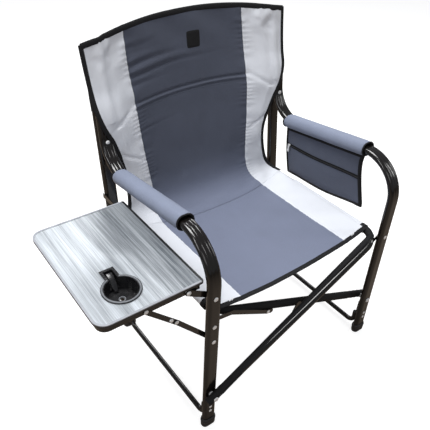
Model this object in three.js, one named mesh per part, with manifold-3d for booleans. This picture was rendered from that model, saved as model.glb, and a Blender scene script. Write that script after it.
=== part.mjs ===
// A folding director chair with a drop-leaf side table: two tubular side frames, two U-shaped
// cross frames that scissor between them, a fabric sling seat and back, padded arms, a zipped
// pouch on one arm and a side table with a cup holder on the other.
// Millimetres, +Z up. The chair faces -Y and the table stands on its -X side.
import * as THREE from "three";
import { mergeVertices } from "three/addons/utils/BufferGeometryUtils.js";
import Module from "manifold-3d";

const wasm = await Module();
wasm.setup();

// ---- driving dimensions -------------------------------------------------------------------
const HALF_SPAN = 310; // side frames stand at x = -HALF_SPAN and +HALF_SPAN
const GAP = 0.3; // clearance left between pieces that touch
const OVAL_WIDE = 38; // flat-oval side tube, its wide side across the chair
const OVAL_DEEP = 19;
const ROUND_TUBE = 9.5; // radius of the cross-frame tube
const RAIL_TUBE = 7.5; // radius of the lower side rails
const TUBE_SIDES = 10;

const ARM_SLOPE = Math.tan(THREE.MathUtils.degToRad(7.5)); // the arm drops towards the back
const ARM_AT_LEG = 649; // height where the arm's line meets the front leg's line
const ARCH_RADIUS = 112;
const REAR_BEND_RADIUS = 100;
const ARM_TUBE_TOP = 742;
const POST_FOOT_Y = 448.6; // the back post's line where it meets the floor
const POST_LEAN = 0.1095; // run towards the back per unit of height
const POST_TOP = 906;

const PIVOT_Z = 142; // lower pivots of the cross frames
const CROSS_ANGLE = THREE.MathUtils.degToRad(23.8); // cross-frame slope when open
const CROSS_LENGTH = 650; // lower pivot to seat rail
const CROSS_BEND = 52;
const CROSS_OVERRUN = 23; // tube beyond its lower pivot
const CENTRE_DROP = 25; // centre pivot below the tubes' own line
const LINK_PIVOT_Z = 398;
const LINK_ALONG = 461; // the link's far end, along the cross tube and below its line
const LINK_BELOW = 8;

const TABLE_TOP = 546;
const TABLE_INNER_X = -331;
const TABLE_OUTER_X = -592;
const TABLE_FRONT_Y = 9.5;
const TABLE_BACK_Y = 384;
const TABLE_HINGE = new THREE.Vector2(-372, 528.5); // x, z
const STAY_LEG = new THREE.Vector2(-310, 346);
const STAY_KNEE = new THREE.Vector2(-402, 451);
const STAY_TABLE = new THREE.Vector2(-478, 527);
const CUP_CENTRE = new THREE.Vector2(-496, 88); // x, y
const CUP_RADIUS = 39;
const CUP_DEPTH = 34;

const SEAT_FRONT_Y = 42;
const SEAT_BACK_Y = 444;
const BACK_TOP = 918;
const FABRIC = 3;

// ---- colours ------------------------------------------------------------------------------
function finish(color, roughness, metalness) {
  return new THREE.MeshStandardMaterial({ color, roughness, metalness });
}
const BLACK_PAINT = finish(0x0b0b0c, 0.25, 0.3);
const BLACK_PLASTIC = finish(0x101012, 0.5, 0);
const STEEL = finish(0xc8cbd0, 0.3, 0.9);
const SLATE = finish(0x454b59, 0.9, 0);
const PALE = finish(0xc9ccd3, 0.9, 0);
const BLACK_CLOTH = finish(0x121214, 0.85, 0);
const ARM_CLOTH = finish(0x7d869b, 0.9, 0);
const BRUSHED = finish(0xaab2b8, 0.35, 0.7);
const GREY_TRIM = finish(0x8a8e98, 0.5, 0);

// ---- solids -------------------------------------------------------------------------------
// A three.js geometry as a manifold solid, with its faces turned outwards if they are not.
function solid(geometry) {
  const bare = geometry.index ? geometry.toNonIndexed() : geometry.clone();
  bare.deleteAttribute("normal");
  bare.deleteAttribute("uv");
  const merged = mergeVertices(bare, 1e-3);
  const build = (triVerts) =>
    new wasm.Manifold(
      new wasm.Mesh({ numProp: 3, vertProperties: merged.attributes.position.array, triVerts }),
    );
  const triVerts = new Uint32Array(merged.index.array);
  const made = build(triVerts);
  return made.volume() < 0 ? build(triVerts.reverse()) : made;
}

function geometryOf(body) {
  const mesh = body.getMesh();
  const geometry = new THREE.BufferGeometry();
  geometry.setAttribute("position", new THREE.BufferAttribute(mesh.vertProperties, 3));
  geometry.setIndex(new THREE.BufferAttribute(mesh.triVerts, 1));
  geometry.computeVertexNormals();
  return geometry;
}

function place(body, name, material, parent) {
  const mesh = new THREE.Mesh(geometryOf(body), material);
  mesh.name = name;
  parent.add(mesh);
  return mesh;
}

// ---- paths and sections -------------------------------------------------------------------
// A curve whose even steps fall exactly on its stations, with mitred tangents and with the
// section's wide side held towards one direction all the way along.
class StationPath extends THREE.Curve {
  constructor(stations, wide) {
    super();
    this.stations = stations;
    this.wide = wide;
  }
  getPoint(t, target = new THREE.Vector3()) {
    const last = this.stations.length - 1;
    const k = Math.min(Math.floor(t * last + 1e-9), last - 1);
    return target.copy(this.stations[k]).lerp(this.stations[k + 1], t * last - k);
  }
  getPointAt(u, target) {
    return this.getPoint(u, target);
  }
  getTangentAt(u, target = new THREE.Vector3()) {
    const last = this.stations.length - 1;
    const k = Math.round(u * last);
    const before = this.stations[Math.max(k - 1, 0)];
    const here = this.stations[k];
    const after = this.stations[Math.min(k + 1, last)];
    const arriving = here.clone().sub(before).normalize();
    const leaving = after.clone().sub(here).normalize();
    return target.copy(arriving).add(leaving).normalize();
  }
  computeFrenetFrames(segments) {
    const frames = { tangents: [], normals: [], binormals: [] };
    for (let k = 0; k <= segments; k++) {
      const tangent = this.getTangentAt(k / segments);
      const normal = this.wide.clone().addScaledVector(tangent, -this.wide.dot(tangent)).normalize();
      frames.tangents.push(tangent);
      frames.normals.push(normal);
      frames.binormals.push(tangent.clone().cross(normal));
    }
    return frames;
  }
}

// Straight runs through the corners, each inner corner rounded to its radius.
function roundedPath(corners, radii, steps = 7) {
  const stations = [corners[0].clone()];
  for (let i = 1; i < corners.length - 1; i++) {
    const corner = corners[i];
    const back = corners[i - 1].clone().sub(corner).normalize();
    const on = corners[i + 1].clone().sub(corner).normalize();
    const half = back.angleTo(on) / 2;
    const reach = radii[i - 1] / Math.tan(half);
    const bisector = back.clone().add(on).normalize();
    const centre = corner.clone().addScaledVector(bisector, radii[i - 1] / Math.sin(half));
    const from = corner.clone().addScaledVector(back, reach).sub(centre);
    const to = corner.clone().addScaledVector(on, reach).sub(centre);
    const sweep = from.angleTo(to);
    for (let k = 0; k <= steps; k++) {
      const a = (sweep * k) / steps;
      const point = from.clone().multiplyScalar(Math.sin(sweep - a) / Math.sin(sweep));
      point.addScaledVector(to, Math.sin(a) / Math.sin(sweep));
      stations.push(point.add(centre));
    }
  }
  stations.push(corners[corners.length - 1].clone());
  return stations;
}

const ACROSS = new THREE.Vector3(1, 0, 0);
function sweep(stations, shape, wide = ACROSS) {
  const extrudePath = new StationPath(stations, wide);
  const steps = stations.length - 1;
  return solid(new THREE.ExtrudeGeometry(shape, { steps, extrudePath, curveSegments: 1 }));
}

function polygon(points) {
  return new THREE.Shape(points);
}

// A stadium: two half circles joined by flats, wide along the shape's x.
function stadiumPoints(wide, deep, perEnd = 6) {
  const points = [];
  const flat = (wide - deep) / 2;
  for (const side of [1, -1])
    for (let k = 0; k <= perEnd; k++) {
      const a = -Math.PI / 2 + (Math.PI * k) / perEnd + (side < 0 ? Math.PI : 0);
      points.push(new THREE.Vector2(side * flat + (deep / 2) * Math.cos(a), (deep / 2) * Math.sin(a)));
    }
  return points;
}

function circlePoints(radius, sides = TUBE_SIDES) {
  return Array.from({ length: sides }, (_, k) => {
    const a = (2 * Math.PI * (k + 0.5)) / sides;
    return new THREE.Vector2(radius * Math.cos(a), radius * Math.sin(a));
  });
}

function ring(outer, inner) {
  const shape = polygon(outer);
  shape.holes.push(new THREE.Path(inner));
  return shape;
}

// A flat outline drawn in x and z, given thickness from y = front to y = back.
function plate(outline, front, back) {
  const geometry = new THREE.ExtrudeGeometry(polygon(outline), {
    depth: back - front,
    bevelEnabled: false,
    curveSegments: 1,
  });
  geometry.rotateX(Math.PI / 2);
  geometry.translate(0, back, 0);
  return solid(geometry);
}

// A flat outline drawn in x and y, given thickness from z = low to z = high.
function slab(shape, low, high) {
  const geometry = new THREE.ExtrudeGeometry(shape, {
    depth: high - low,
    bevelEnabled: false,
    curveSegments: 1,
  });
  geometry.translate(0, 0, low);
  return solid(geometry);
}

// A strip with round ends of the given half width along a line of (x, z) points.
function stripOutline(line, half, endSteps = 6) {
  const outline = [];
  const along = (a, b) => b.clone().sub(a).normalize();
  const walk = (points) => {
    points.forEach((point, i) => {
      const arriving = i ? along(points[i - 1], point) : null;
      const leaving = i < points.length - 1 ? along(point, points[i + 1]) : null;
      if (arriving && leaving) {
        const middle = arriving.clone().add(leaving).normalize();
        const stretch = half / middle.dot(arriving);
        outline.push(point.clone().add(new THREE.Vector2(middle.y, -middle.x).multiplyScalar(stretch)));
      } else if (arriving) {
        const start = Math.atan2(-arriving.x, arriving.y);
        for (let k = 0; k < endSteps; k++) {
          const a = start + (Math.PI * k) / endSteps;
          outline.push(point.clone().add(new THREE.Vector2(Math.cos(a), Math.sin(a)).multiplyScalar(half)));
        }
      }
    });
  };
  walk(line);
  walk([...line].reverse());
  return outline;
}

// A round bar along Y, with an optional wider head at either end.
function barAlongY(x, z, front, back, radius, sides = 12, head = 0, headHeight = 0) {
  const profile = [new THREE.Vector2(0, front - headHeight)];
  if (head) {
    profile.push(new THREE.Vector2(head * 0.7, front - headHeight));
    profile.push(new THREE.Vector2(head, front - headHeight * 0.4));
    profile.push(new THREE.Vector2(head, front));
  }
  profile.push(new THREE.Vector2(radius, front));
  profile.push(new THREE.Vector2(radius, back));
  if (head) {
    profile.push(new THREE.Vector2(head, back));
    profile.push(new THREE.Vector2(head, back + headHeight * 0.4));
    profile.push(new THREE.Vector2(head * 0.7, back + headHeight));
  }
  profile.push(new THREE.Vector2(0, back + headHeight));
  const geometry = new THREE.LatheGeometry(profile, sides);
  geometry.translate(x, 0, z);
  return solid(geometry);
}

// A sheet of even thickness through a surface of two parameters, each from 0 to 1.
function sheet(surface, across, up, thickness, facing) {
  const positions = [];
  const index = [];
  const row = across + 1;
  const layer = row * (up + 1);
  for (const side of [-0.5, 0.5])
    for (let j = 0; j <= up; j++)
      for (let i = 0; i <= across; i++) {
        const p = surface(i / across, j / up).addScaledVector(facing, side * thickness);
        positions.push(p.x, p.y, p.z);
      }
  const quad = (a, b, c, d) => index.push(a, b, c, a, c, d);
  for (let j = 0; j < up; j++)
    for (let i = 0; i < across; i++) {
      const a = j * row + i;
      quad(a, a + 1, a + 1 + row, a + row);
      quad(layer + a, layer + a + row, layer + a + 1 + row, layer + a + 1);
    }
  for (let i = 0; i < across; i++) {
    const top = up * row + i;
    quad(i + 1, i, layer + i, layer + i + 1);
    quad(top, top + 1, layer + top + 1, layer + top);
  }
  for (let j = 0; j < up; j++) {
    const left = j * row;
    const right = left + across;
    quad(left, left + row, layer + left + row, layer + left);
    quad(right + row, right, layer + right, layer + right + row);
  }
  const geometry = new THREE.BufferGeometry();
  geometry.setAttribute("position", new THREE.Float32BufferAttribute(positions, 3));
  geometry.setIndex(index);
  return solid(geometry);
}

// ---- shared geometry of the frame ---------------------------------------------------------
const postY = (z) => POST_FOOT_Y + POST_LEAN * z;
const leanCos = 1 / Math.hypot(1, POST_LEAN);
const postFace = (z) => postY(z) - OVAL_DEEP / 2 / leanCos;

// The leg, arch, arm and rear bend of one side frame, as (y, z) stations at x = 0.
function armPath() {
  const offset = (OVAL_DEEP + GAP) / leanCos;
  const endLine = POST_FOOT_Y - offset;
  const bendY = (endLine + POST_LEAN * ARM_AT_LEG) / (1 + POST_LEAN * ARM_SLOPE);
  const bendZ = ARM_AT_LEG - ARM_SLOPE * bendY;
  const corners = [
    new THREE.Vector3(0, 0, FOOT_INNER),
    new THREE.Vector3(0, 0, ARM_AT_LEG),
    new THREE.Vector3(0, bendY, bendZ),
    new THREE.Vector3(0, endLine + POST_LEAN * ARM_TUBE_TOP, ARM_TUBE_TOP),
  ];
  return roundedPath(corners, [ARCH_RADIUS, REAR_BEND_RADIUS], 8);
}
const FOOT_INNER = 4; // the tubes end this far above the floor, inside their foot caps
const FOOT_HEIGHT = 30;

const crossDirection = new THREE.Vector2(Math.cos(CROSS_ANGLE), Math.sin(CROSS_ANGLE));
const crossBelow = new THREE.Vector2(Math.sin(CROSS_ANGLE), -Math.cos(CROSS_ANGLE));
// (x, z) of the point this far along the cross tube from its lower pivot and below its line.
function onCross(along, below = 0) {
  return new THREE.Vector2(-HALF_SPAN, PIVOT_Z)
    .addScaledVector(crossDirection, along)
    .addScaledVector(crossBelow, below);
}
const CENTRE_ALONG = (HALF_SPAN - CENTRE_DROP * Math.sin(CROSS_ANGLE)) / Math.cos(CROSS_ANGLE);
const CENTRE_PIVOT = onCross(CENTRE_ALONG, CENTRE_DROP);
const mirrored = (p) => new THREE.Vector2(-p.x, p.y);

const PIN = 4;
const RIVET = 3;
const PIN_HOLE = PIN + GAP;
const PIN_HEAD = 7.5;
const HEAD_HEIGHT = 3;
const LOW_HEAD = 1.2; // head height where another piece swings past close behind

// y planes behind the left leg, front face and back face: seat link, then the table's stay
const LINK_PLANE = [OVAL_DEEP / 2 + GAP, OVAL_DEEP / 2 + GAP + 1.8];
const STAY_INNER_PLANE = [13.2, 14.4];
const STAY_OUTER_PLANE = [14.7, 15.9];

// y planes of the cross frames' diagonals: front and rear, at the pivot and at the seat rail
const FRAME_A = { front: [-21.5, -2], rear: [428, 406] };
const FRAME_B = { front: [27.5, 27.5], rear: [440, 440] };

// ---- side frames --------------------------------------------------------------------------
function footCap(side, end, y, lean, parent) {
  const outer = stadiumPoints(OVAL_WIDE + 6, OVAL_DEEP + 6);
  const inner = stadiumPoints(OVAL_WIDE + 2 * GAP, OVAL_DEEP + 2 * GAP);
  const at = (z) => new THREE.Vector3(side.x, y + lean * z, z);
  const body = sweep([at(-6), at(FOOT_HEIGHT)], polygon(outer));
  const pocket = sweep([at(FOOT_INNER - GAP), at(FOOT_HEIGHT + 5)], polygon(inner));
  const floor = solid(new THREE.BoxGeometry(200, 200, 20).translate(side.x, y, -10));
  place(body.subtract(pocket).subtract(floor), `foot_${end}_${side.name}`, BLACK_PLASTIC, parent);
}

function railBracket(side, end, y, lean, sign, parent) {
  const half = 13;
  const outline = stripOutline([new THREE.Vector2(0, 58), new THREE.Vector2(0, 118)], half);
  const squareEnd = outline.filter((p) => p.y >= 58);
  squareEnd.push(new THREE.Vector2(-half, 46), new THREE.Vector2(half, 46));
  const thick = 2.4;
  const front = sign > 0 ? OVAL_DEEP / 2 + GAP : -OVAL_DEEP / 2 - GAP - thick;
  const order = squareEnd.sort((a, b) => Math.atan2(a.y - 80, a.x) - Math.atan2(b.y - 80, b.x));
  const group = new THREE.Group();
  group.position.set(side.x, y, 0);
  group.rotation.x = -Math.atan(lean);
  parent.add(group);
  place(plate(order, front, front + thick), `rail_bracket_${end}_${side.name}`, BLACK_PAINT, group);
}

function sideFrame(side, root) {
  const group = new THREE.Group();
  root.add(group);
  const at = (stations) => stations.map((p) => p.clone().setX(side.x));
  const oval = polygon(stadiumPoints(OVAL_WIDE, OVAL_DEEP));
  const holeFront = barAlongY(side.x, PIVOT_Z, -60, 60, PIN_HOLE);
  const holeRear = barAlongY(side.x, PIVOT_Z, postY(PIVOT_Z) - 60, postY(PIVOT_Z) + 60, PIN_HOLE);
  const stations = at(armPath());
  let leg = sweep(stations, oval).subtract(holeFront);
  for (const z of side.rivets) leg = leg.subtract(barAlongY(side.x, z, -60, 60, RIVET + GAP, 10));
  place(leg, `leg_arm_tube_${side.name}`, BLACK_PAINT, group);

  const postAt = (z) => new THREE.Vector3(side.x, postY(z), z);
  const post = sweep([postAt(FOOT_INNER), postAt(POST_TOP)], oval);
  place(post.subtract(holeRear), `back_post_${side.name}`, BLACK_PAINT, group);

  // padded sleeve round the arm, from just behind the arch to the start of the rear bend
  const padded = stations.filter((p) => p.y > 118 && p.y < 440 && p.z > 560);
  const start = padded[0].clone().setY(118);
  start.z = ARM_AT_LEG - ARM_SLOPE * 118 - 0.4;
  const padPath = [start, ...padded.filter((p) => p.y > 135)];
  const padSection = ring(stadiumPoints(51, 38, 6), stadiumPoints(OVAL_WIDE + 1.6, OVAL_DEEP + 1.6, 6));
  place(sweep(padPath, padSection), `arm_pad_${side.name}`, ARM_CLOTH, group);

  // lower side rail, turned up at both ends behind and in front of its brackets
  const railZ = 17;
  const frontY = OVAL_DEEP / 2 + 3 + 3 * GAP + RAIL_TUBE;
  const rearY = postFace(60) - 4 - 3 * GAP - RAIL_TUBE;
  const railEnds = [
    new THREE.Vector3(side.x, frontY, 64),
    new THREE.Vector3(side.x, frontY, railZ),
    new THREE.Vector3(side.x, rearY, railZ),
    new THREE.Vector3(side.x, rearY, 64),
  ];
  const rail = sweep(roundedPath(railEnds, [24, 24], 5), polygon(circlePoints(RAIL_TUBE)));
  place(rail, `lower_rail_${side.name}`, BLACK_PAINT, group);

  footCap(side, "front", 0, 0, group);
  footCap(side, "rear", POST_FOOT_Y, POST_LEAN, group);
  railBracket(side, "front", 0, 0, 1, group);
  railBracket(side, "rear", POST_FOOT_Y, POST_LEAN, -1, group);
  return group;
}

// ---- cross frames -------------------------------------------------------------------------
// A U of round tube: front diagonal, seat rail and rear diagonal, drilled at its lower pivots.
function crossFrame(name, planes, mirror, root) {
  const group = new THREE.Group();
  root.add(group);
  const point = (along, y, below = 0) => {
    const p = onCross(along, below);
    return new THREE.Vector3(mirror ? -p.x : p.x, y, p.y);
  };
  const overrun = (pair) => pair[0] - ((pair[1] - pair[0]) * CROSS_OVERRUN) / CROSS_LENGTH;
  const corners = [
    point(-CROSS_OVERRUN, overrun(planes.front)),
    point(CROSS_LENGTH, planes.front[1]),
    point(CROSS_LENGTH, planes.rear[1]),
    point(-CROSS_OVERRUN, overrun(planes.rear)),
  ];
  const path = roundedPath(corners, [CROSS_BEND, CROSS_BEND], 7);
  const pivotX = mirror ? HALF_SPAN : -HALF_SPAN;
  const upright = new THREE.Vector3(mirror ? crossBelow.x : -crossBelow.x, 0, -crossBelow.y);
  let tube = sweep(path, polygon(circlePoints(ROUND_TUBE, 12)), upright);
  for (const y of [planes.front[0], planes.rear[0]])
    tube = tube.subtract(barAlongY(pivotX, PIVOT_Z, y - 30, y + 30, PIN_HOLE));
  place(tube, `${name}_tube`, BLACK_PAINT, group);

  // the seat's sleeve on the rail, in the straight between the bends
  const from = planes.front[1] + CROSS_BEND + 6;
  const to = planes.rear[1] - CROSS_BEND - 6;
  const sleeveSection = ring(circlePoints(ROUND_TUBE + 2, 12), circlePoints(ROUND_TUBE + 0.4, 12));
  const sleevePath = [point(CROSS_LENGTH, from), point(CROSS_LENGTH, to)];
  place(sweep(sleevePath, sleeveSection), `seat_sleeve_${mirror ? "left" : "right"}`, PALE, group);
  return group;
}

// The plate that hangs from a cross tube and carries the centre pivot.
function centrePlate(name, mirror, front, back, parent) {
  const foot = onCross(CENTRE_ALONG, 2);
  const line = [foot, CENTRE_PIVOT].map((p) => (mirror ? mirrored(p) : p.clone()));
  const hole = barAlongY(CENTRE_PIVOT.x, CENTRE_PIVOT.y, front - 5, back + 5, PIN_HOLE);
  place(plate(stripOutline(line, 11), front, back).subtract(hole), name, BLACK_PAINT, parent);
}

// ---- links from the legs to the cross frames -----------------------------------------------
function seatLink(name, mirror, knee, shoulder, parent) {
  const line = [
    new THREE.Vector2(HALF_SPAN, LINK_PIVOT_Z),
    knee,
    shoulder,
    onCross(LINK_ALONG, LINK_BELOW),
  ].map((p) => (mirror ? mirrored(p) : p));
  const hole = barAlongY(line[0].x, line[0].y, -30, 40, RIVET + GAP, 10);
  const strip = plate(stripOutline(line, 6.5), LINK_PLANE[0], LINK_PLANE[1]);
  place(strip.subtract(hole), name, BLACK_PAINT, parent);
  const leg = -OVAL_DEEP / 2;
  rivet(`${name}_pin`, line[0].x, line[0].y, leg, LINK_PLANE[1], parent);
}

function rivet(name, x, z, front, back, parent) {
  place(barAlongY(x, z, front - GAP, back + 0.1, RIVET, 12, 6, LOW_HEAD), name, STEEL, parent);
}

// The block under a cross tube that the seat link's far end is riveted to.
function linkLug(name, mirror, front, back, parent) {
  const line = [onCross(LINK_ALONG - 14, LINK_BELOW), onCross(LINK_ALONG + 14, LINK_BELOW)];
  const placed = line.map((p) => (mirror ? mirrored(p) : p));
  place(plate(stripOutline(placed, 7), front, back), name, BLACK_PAINT, parent);
}

// ---- side table ---------------------------------------------------------------------------
// A rectangle in x and y whose two outer corners are rounded much more than its inner ones.
function tableOutline(inset, outerRadius, innerRadius) {
  const left = TABLE_OUTER_X + inset;
  const right = TABLE_INNER_X - inset;
  const front = TABLE_FRONT_Y + inset;
  const back = TABLE_BACK_Y - inset;
  const points = [];
  const corner = (x, y, radius, start, steps) => {
    for (let k = 0; k <= steps; k++) {
      const a = start + ((Math.PI / 2) * k) / steps;
      points.push(new THREE.Vector2(x + radius * Math.cos(a), y + radius * Math.sin(a)));
    }
  };
  const outer = outerRadius - inset;
  const inner = Math.max(innerRadius - inset, 1);
  corner(right - inner, front + inner, inner, -Math.PI / 2, 2);
  corner(right - inner, back - inner, inner, 0, 2);
  corner(left + outer, back - outer, outer, Math.PI / 2, 6);
  corner(left + outer, front + outer, outer, Math.PI, 6);
  return points;
}

const CHANNEL_HALF = 11;
const CHANNEL_END = CUP_CENTRE.y + 68;
// The cup's plan: a circle with a straight channel towards the back for a mug's handle.
function cupPlan(grow) {
  const radius = CUP_RADIUS + grow;
  const half = CHANNEL_HALF + grow;
  const meet = Math.asin(half / radius);
  const sides = 28;
  const from = Math.PI / 2 + meet;
  const span = 2 * Math.PI - 2 * meet;
  const points = [];
  for (let k = 0; k <= sides; k++) {
    const a = from + (span * k) / sides;
    points.push(new THREE.Vector2(radius * Math.cos(a), radius * Math.sin(a)).add(CUP_CENTRE));
  }
  points.push(new THREE.Vector2(CUP_CENTRE.x + half, CHANNEL_END + grow));
  points.push(new THREE.Vector2(CUP_CENTRE.x - half, CHANNEL_END + grow));
  return points;
}

function cupHolder(parent) {
  const wall = 2;
  const rim = slab(polygon(cupPlan(7)), TABLE_TOP + GAP, TABLE_TOP + GAP + 2);
  const outside = slab(polygon(cupPlan(wall)), TABLE_TOP - CUP_DEPTH, TABLE_TOP + 1);
  const floorZ = TABLE_TOP - CUP_DEPTH + wall;
  const round = new THREE.CylinderGeometry(CUP_RADIUS, CUP_RADIUS - 3, CUP_DEPTH + 6, 28);
  round.rotateX(Math.PI / 2).translate(CUP_CENTRE.x, CUP_CENTRE.y, floorZ + CUP_DEPTH / 2 + 3);
  const channelLength = CHANNEL_END - CUP_CENTRE.y;
  const channel = new THREE.BoxGeometry(2 * CHANNEL_HALF, channelLength, CUP_DEPTH);
  channel.translate(CUP_CENTRE.x, CUP_CENTRE.y + channelLength / 2, floorZ + 6 + CUP_DEPTH / 2);
  const drain = new THREE.CylinderGeometry(5, 5, 20, 12);
  drain.rotateX(Math.PI / 2).translate(CUP_CENTRE.x, CUP_CENTRE.y, floorZ);
  const body = rim.add(outside).subtract(solid(round)).subtract(solid(channel));
  place(body.subtract(solid(drain)), "cup_holder", BLACK_PLASTIC, parent);
}

const BAND_FRONT = STAY_OUTER_PLANE[1] + GAP;
function table(root) {
  const group = new THREE.Group();
  root.add(group);
  const outerRadius = 30;
  const innerRadius = 5;
  const trimWidth = 5;
  const trim = ring(tableOutline(0, outerRadius, innerRadius), tableOutline(trimWidth, outerRadius, innerRadius));
  place(slab(trim, TABLE_TOP - 7, TABLE_TOP + 1), "table_trim", GREY_TRIM, group);
  const top = ring(tableOutline(trimWidth + GAP, outerRadius, innerRadius), cupPlan(2 + GAP));
  place(slab(top, TABLE_TOP - 5, TABLE_TOP), "table_top", BRUSHED, group);

  const bandInset = BAND_FRONT - TABLE_FRONT_Y;
  const bandLow = TABLE_TOP - 25;
  const bandHigh = TABLE_TOP - 7 - GAP;
  const band = ring(
    tableOutline(bandInset, outerRadius, innerRadius),
    tableOutline(bandInset + 3, outerRadius, innerRadius),
  );
  let frame = slab(band, bandLow, bandHigh);
  for (const y of [212, 330]) {
    const bar = new THREE.BoxGeometry(TABLE_INNER_X - TABLE_OUTER_X - 2 * bandInset - 2, 16, 3);
    bar.translate((TABLE_INNER_X + TABLE_OUTER_X) / 2, y, bandHigh - 1.5);
    frame = frame.add(solid(bar));
  }
  const bore = barAlongY(TABLE_HINGE.x, TABLE_HINGE.y, 0, 400, HINGE_ROD + GAP);
  place(frame.subtract(bore), "table_frame", BLACK_PAINT, group);
  cupHolder(group);
}
const HINGE_ROD = 5;

function tableHinge(root) {
  const legFace = OVAL_DEEP / 2 + GAP;
  const arm = [new THREE.Vector2(-HALF_SPAN, 491), TABLE_HINGE];
  place(plate(stripOutline(arm, 8.5), legFace, legFace + 2), "table_bracket_front", BLACK_PAINT, root);

  // the rear bracket's strap runs back along the outer side of the post
  const thick = 2.4;
  const flangeY = TABLE_BACK_Y + 3;
  const strapX = -HALF_SPAN - OVAL_WIDE / 2 - GAP - thick / 2;
  const strapEnd = postY(494) + 7;
  const flange = plate(
    stripOutline([new THREE.Vector2(strapX, 496), TABLE_HINGE], 8),
    flangeY,
    flangeY + thick,
  );
  const strap = new THREE.BoxGeometry(thick, strapEnd - flangeY, 15);
  strap.translate(strapX, (strapEnd + flangeY) / 2, 494.5);
  place(flange.add(solid(strap)), "table_bracket_rear", BLACK_PAINT, root);

  const rodFront = legFace + 2 + GAP;
  const rod = barAlongY(TABLE_HINGE.x, TABLE_HINGE.y, rodFront, flangeY - GAP, HINGE_ROD);
  place(rod, "table_hinge_rod", STEEL, root);
}

// The table's folding stay: one strip from the leg and one from the table, meeting at the knee.
function stay(root) {
  const strip = (from, to, planes, holes) => {
    let body = plate(stripOutline([from, to], 7), planes[0], planes[1]);
    for (const p of holes) body = body.subtract(barAlongY(p.x, p.y, -30, 60, RIVET + GAP, 10));
    return body;
  };
  const inner = strip(STAY_LEG, STAY_KNEE, STAY_INNER_PLANE, [STAY_LEG]);
  const outer = strip(STAY_KNEE, STAY_TABLE, STAY_OUTER_PLANE, []);
  place(inner, "stay_inner", BLACK_PAINT, root);
  place(outer, "stay_outer", BLACK_PAINT, root);
  const leg = -OVAL_DEEP / 2;
  rivet("stay_leg_pin", STAY_LEG.x, STAY_LEG.y, leg, STAY_INNER_PLANE[1], root);
}

// ---- pivot pins ---------------------------------------------------------------------------
function pin(name, x, z, front, back, parent) {
  place(barAlongY(x, z, front - GAP, back + GAP, PIN, 12, PIN_HEAD, HEAD_HEIGHT), name, STEEL, parent);
}

function spacer(name, x, z, front, back, parent) {
  const tube = barAlongY(x, z, front + GAP, back - GAP, 8);
  place(tube.subtract(barAlongY(x, z, front - 5, back + 5, PIN_HOLE)), name, STEEL, parent);
}

function pins(root) {
  const half = OVAL_DEEP / 2;
  const rearFace = postFace(PIVOT_Z);
  const postBack = 2 * postY(PIVOT_Z) - rearFace;
  const lean = 1.2; // the leaning faces fall away from the level pin by this much
  const aFront = FRAME_A.front[0];
  const aRear = FRAME_A.rear[0];
  const bFront = FRAME_B.front[0];
  const bRear = FRAME_B.rear[0];
  pin("pivot_pin_front_left", -HALF_SPAN, PIVOT_Z, aFront - ROUND_TUBE, half, root);
  pin("pivot_pin_front_right", HALF_SPAN, PIVOT_Z, -half, bFront + ROUND_TUBE, root);
  pin("pivot_pin_rear_left", -HALF_SPAN, PIVOT_Z, aRear - ROUND_TUBE, postBack + lean, root);
  pin("pivot_pin_rear_right", HALF_SPAN, PIVOT_Z, bRear - ROUND_TUBE, postBack + lean, root);
  spacer("spacer_front_left", -HALF_SPAN, PIVOT_Z, aFront + ROUND_TUBE, -half, root);
  spacer("spacer_front_right", HALF_SPAN, PIVOT_Z, half, bFront - ROUND_TUBE, root);
  spacer("spacer_rear_left", -HALF_SPAN, PIVOT_Z, aRear + ROUND_TUBE + 0.6, rearFace - lean, root);
}

// ---- fabric -------------------------------------------------------------------------------
const RAIL = onCross(CROSS_LENGTH);

// The seat lies across the tops of its two sleeves and sags a little between them.
function seat(root) {
  const half = RAIL.x;
  const edge = RAIL.y + ROUND_TUBE + 2 + GAP + FABRIC / 2 + 0.3;
  const surface = (u, v) => {
    const across = 2 * u - 1;
    const rear = SEAT_BACK_Y - 52 * (1 - across * across);
    const y = SEAT_FRONT_Y + (rear - SEAT_FRONT_Y) * v;
    const sag = 14 * (1 - across * across) * (0.7 + 0.3 * Math.sin(Math.PI * v));
    return new THREE.Vector3(half * across, y, edge - sag);
  };
  place(sheet(surface, 14, 6, FABRIC, new THREE.Vector3(0, 0, 1)), "seat_sling", SLATE, root);
}

// Half width of the back at a height: it leaves the posts below the sleeves and curves inwards.
function backHalfWidth(z) {
  const full = HALF_SPAN - OVAL_WIDE / 2 - 2.5 - 2 * GAP;
  const narrow = 256;
  const t = THREE.MathUtils.clamp((z - 470) / (735 - 470), 0, 1);
  const low = THREE.MathUtils.clamp((470 - z) / 70, 0, 1);
  return narrow + (full - narrow) * t * t * (3 - 2 * t) + 8 * low * low;
}

function back(root) {
  const bottom = 422;
  const surface = (u, v) => {
    const across = 2 * u - 1;
    const crown = 36 * (1 - across * across) * v;
    const z = bottom + (BACK_TOP - bottom) * v;
    const bow = 30 * (1 - across * across) * (0.25 + 0.75 * v);
    const low = 90 * Math.pow(1 - v, 3) * (1 - 0.9 * across * across);
    return new THREE.Vector3(backHalfWidth(z) * across, postFace(z) - 4 + bow - low, z + crown);
  };
  place(sheet(surface, 12, 12, FABRIC, new THREE.Vector3(0, 1, 0)), "back_sling", SLATE, root);
}

function backSleeve(side, parent) {
  const bottom = ARM_TUBE_TOP + 4;
  const at = (z) => new THREE.Vector3(side.x, postY(z), z);
  const outer = polygon(stadiumPoints(OVAL_WIDE + 5, OVAL_DEEP + 5, 6));
  const inner = polygon(stadiumPoints(OVAL_WIDE + 1, OVAL_DEEP + 1, 6));
  const body = sweep([at(bottom), at(BACK_TOP)], outer);
  const pocket = sweep([at(bottom - 5), at(POST_TOP + 1)], inner);
  place(body.subtract(pocket), `back_sleeve_${side.name}`, BLACK_CLOTH, parent);
}

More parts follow.
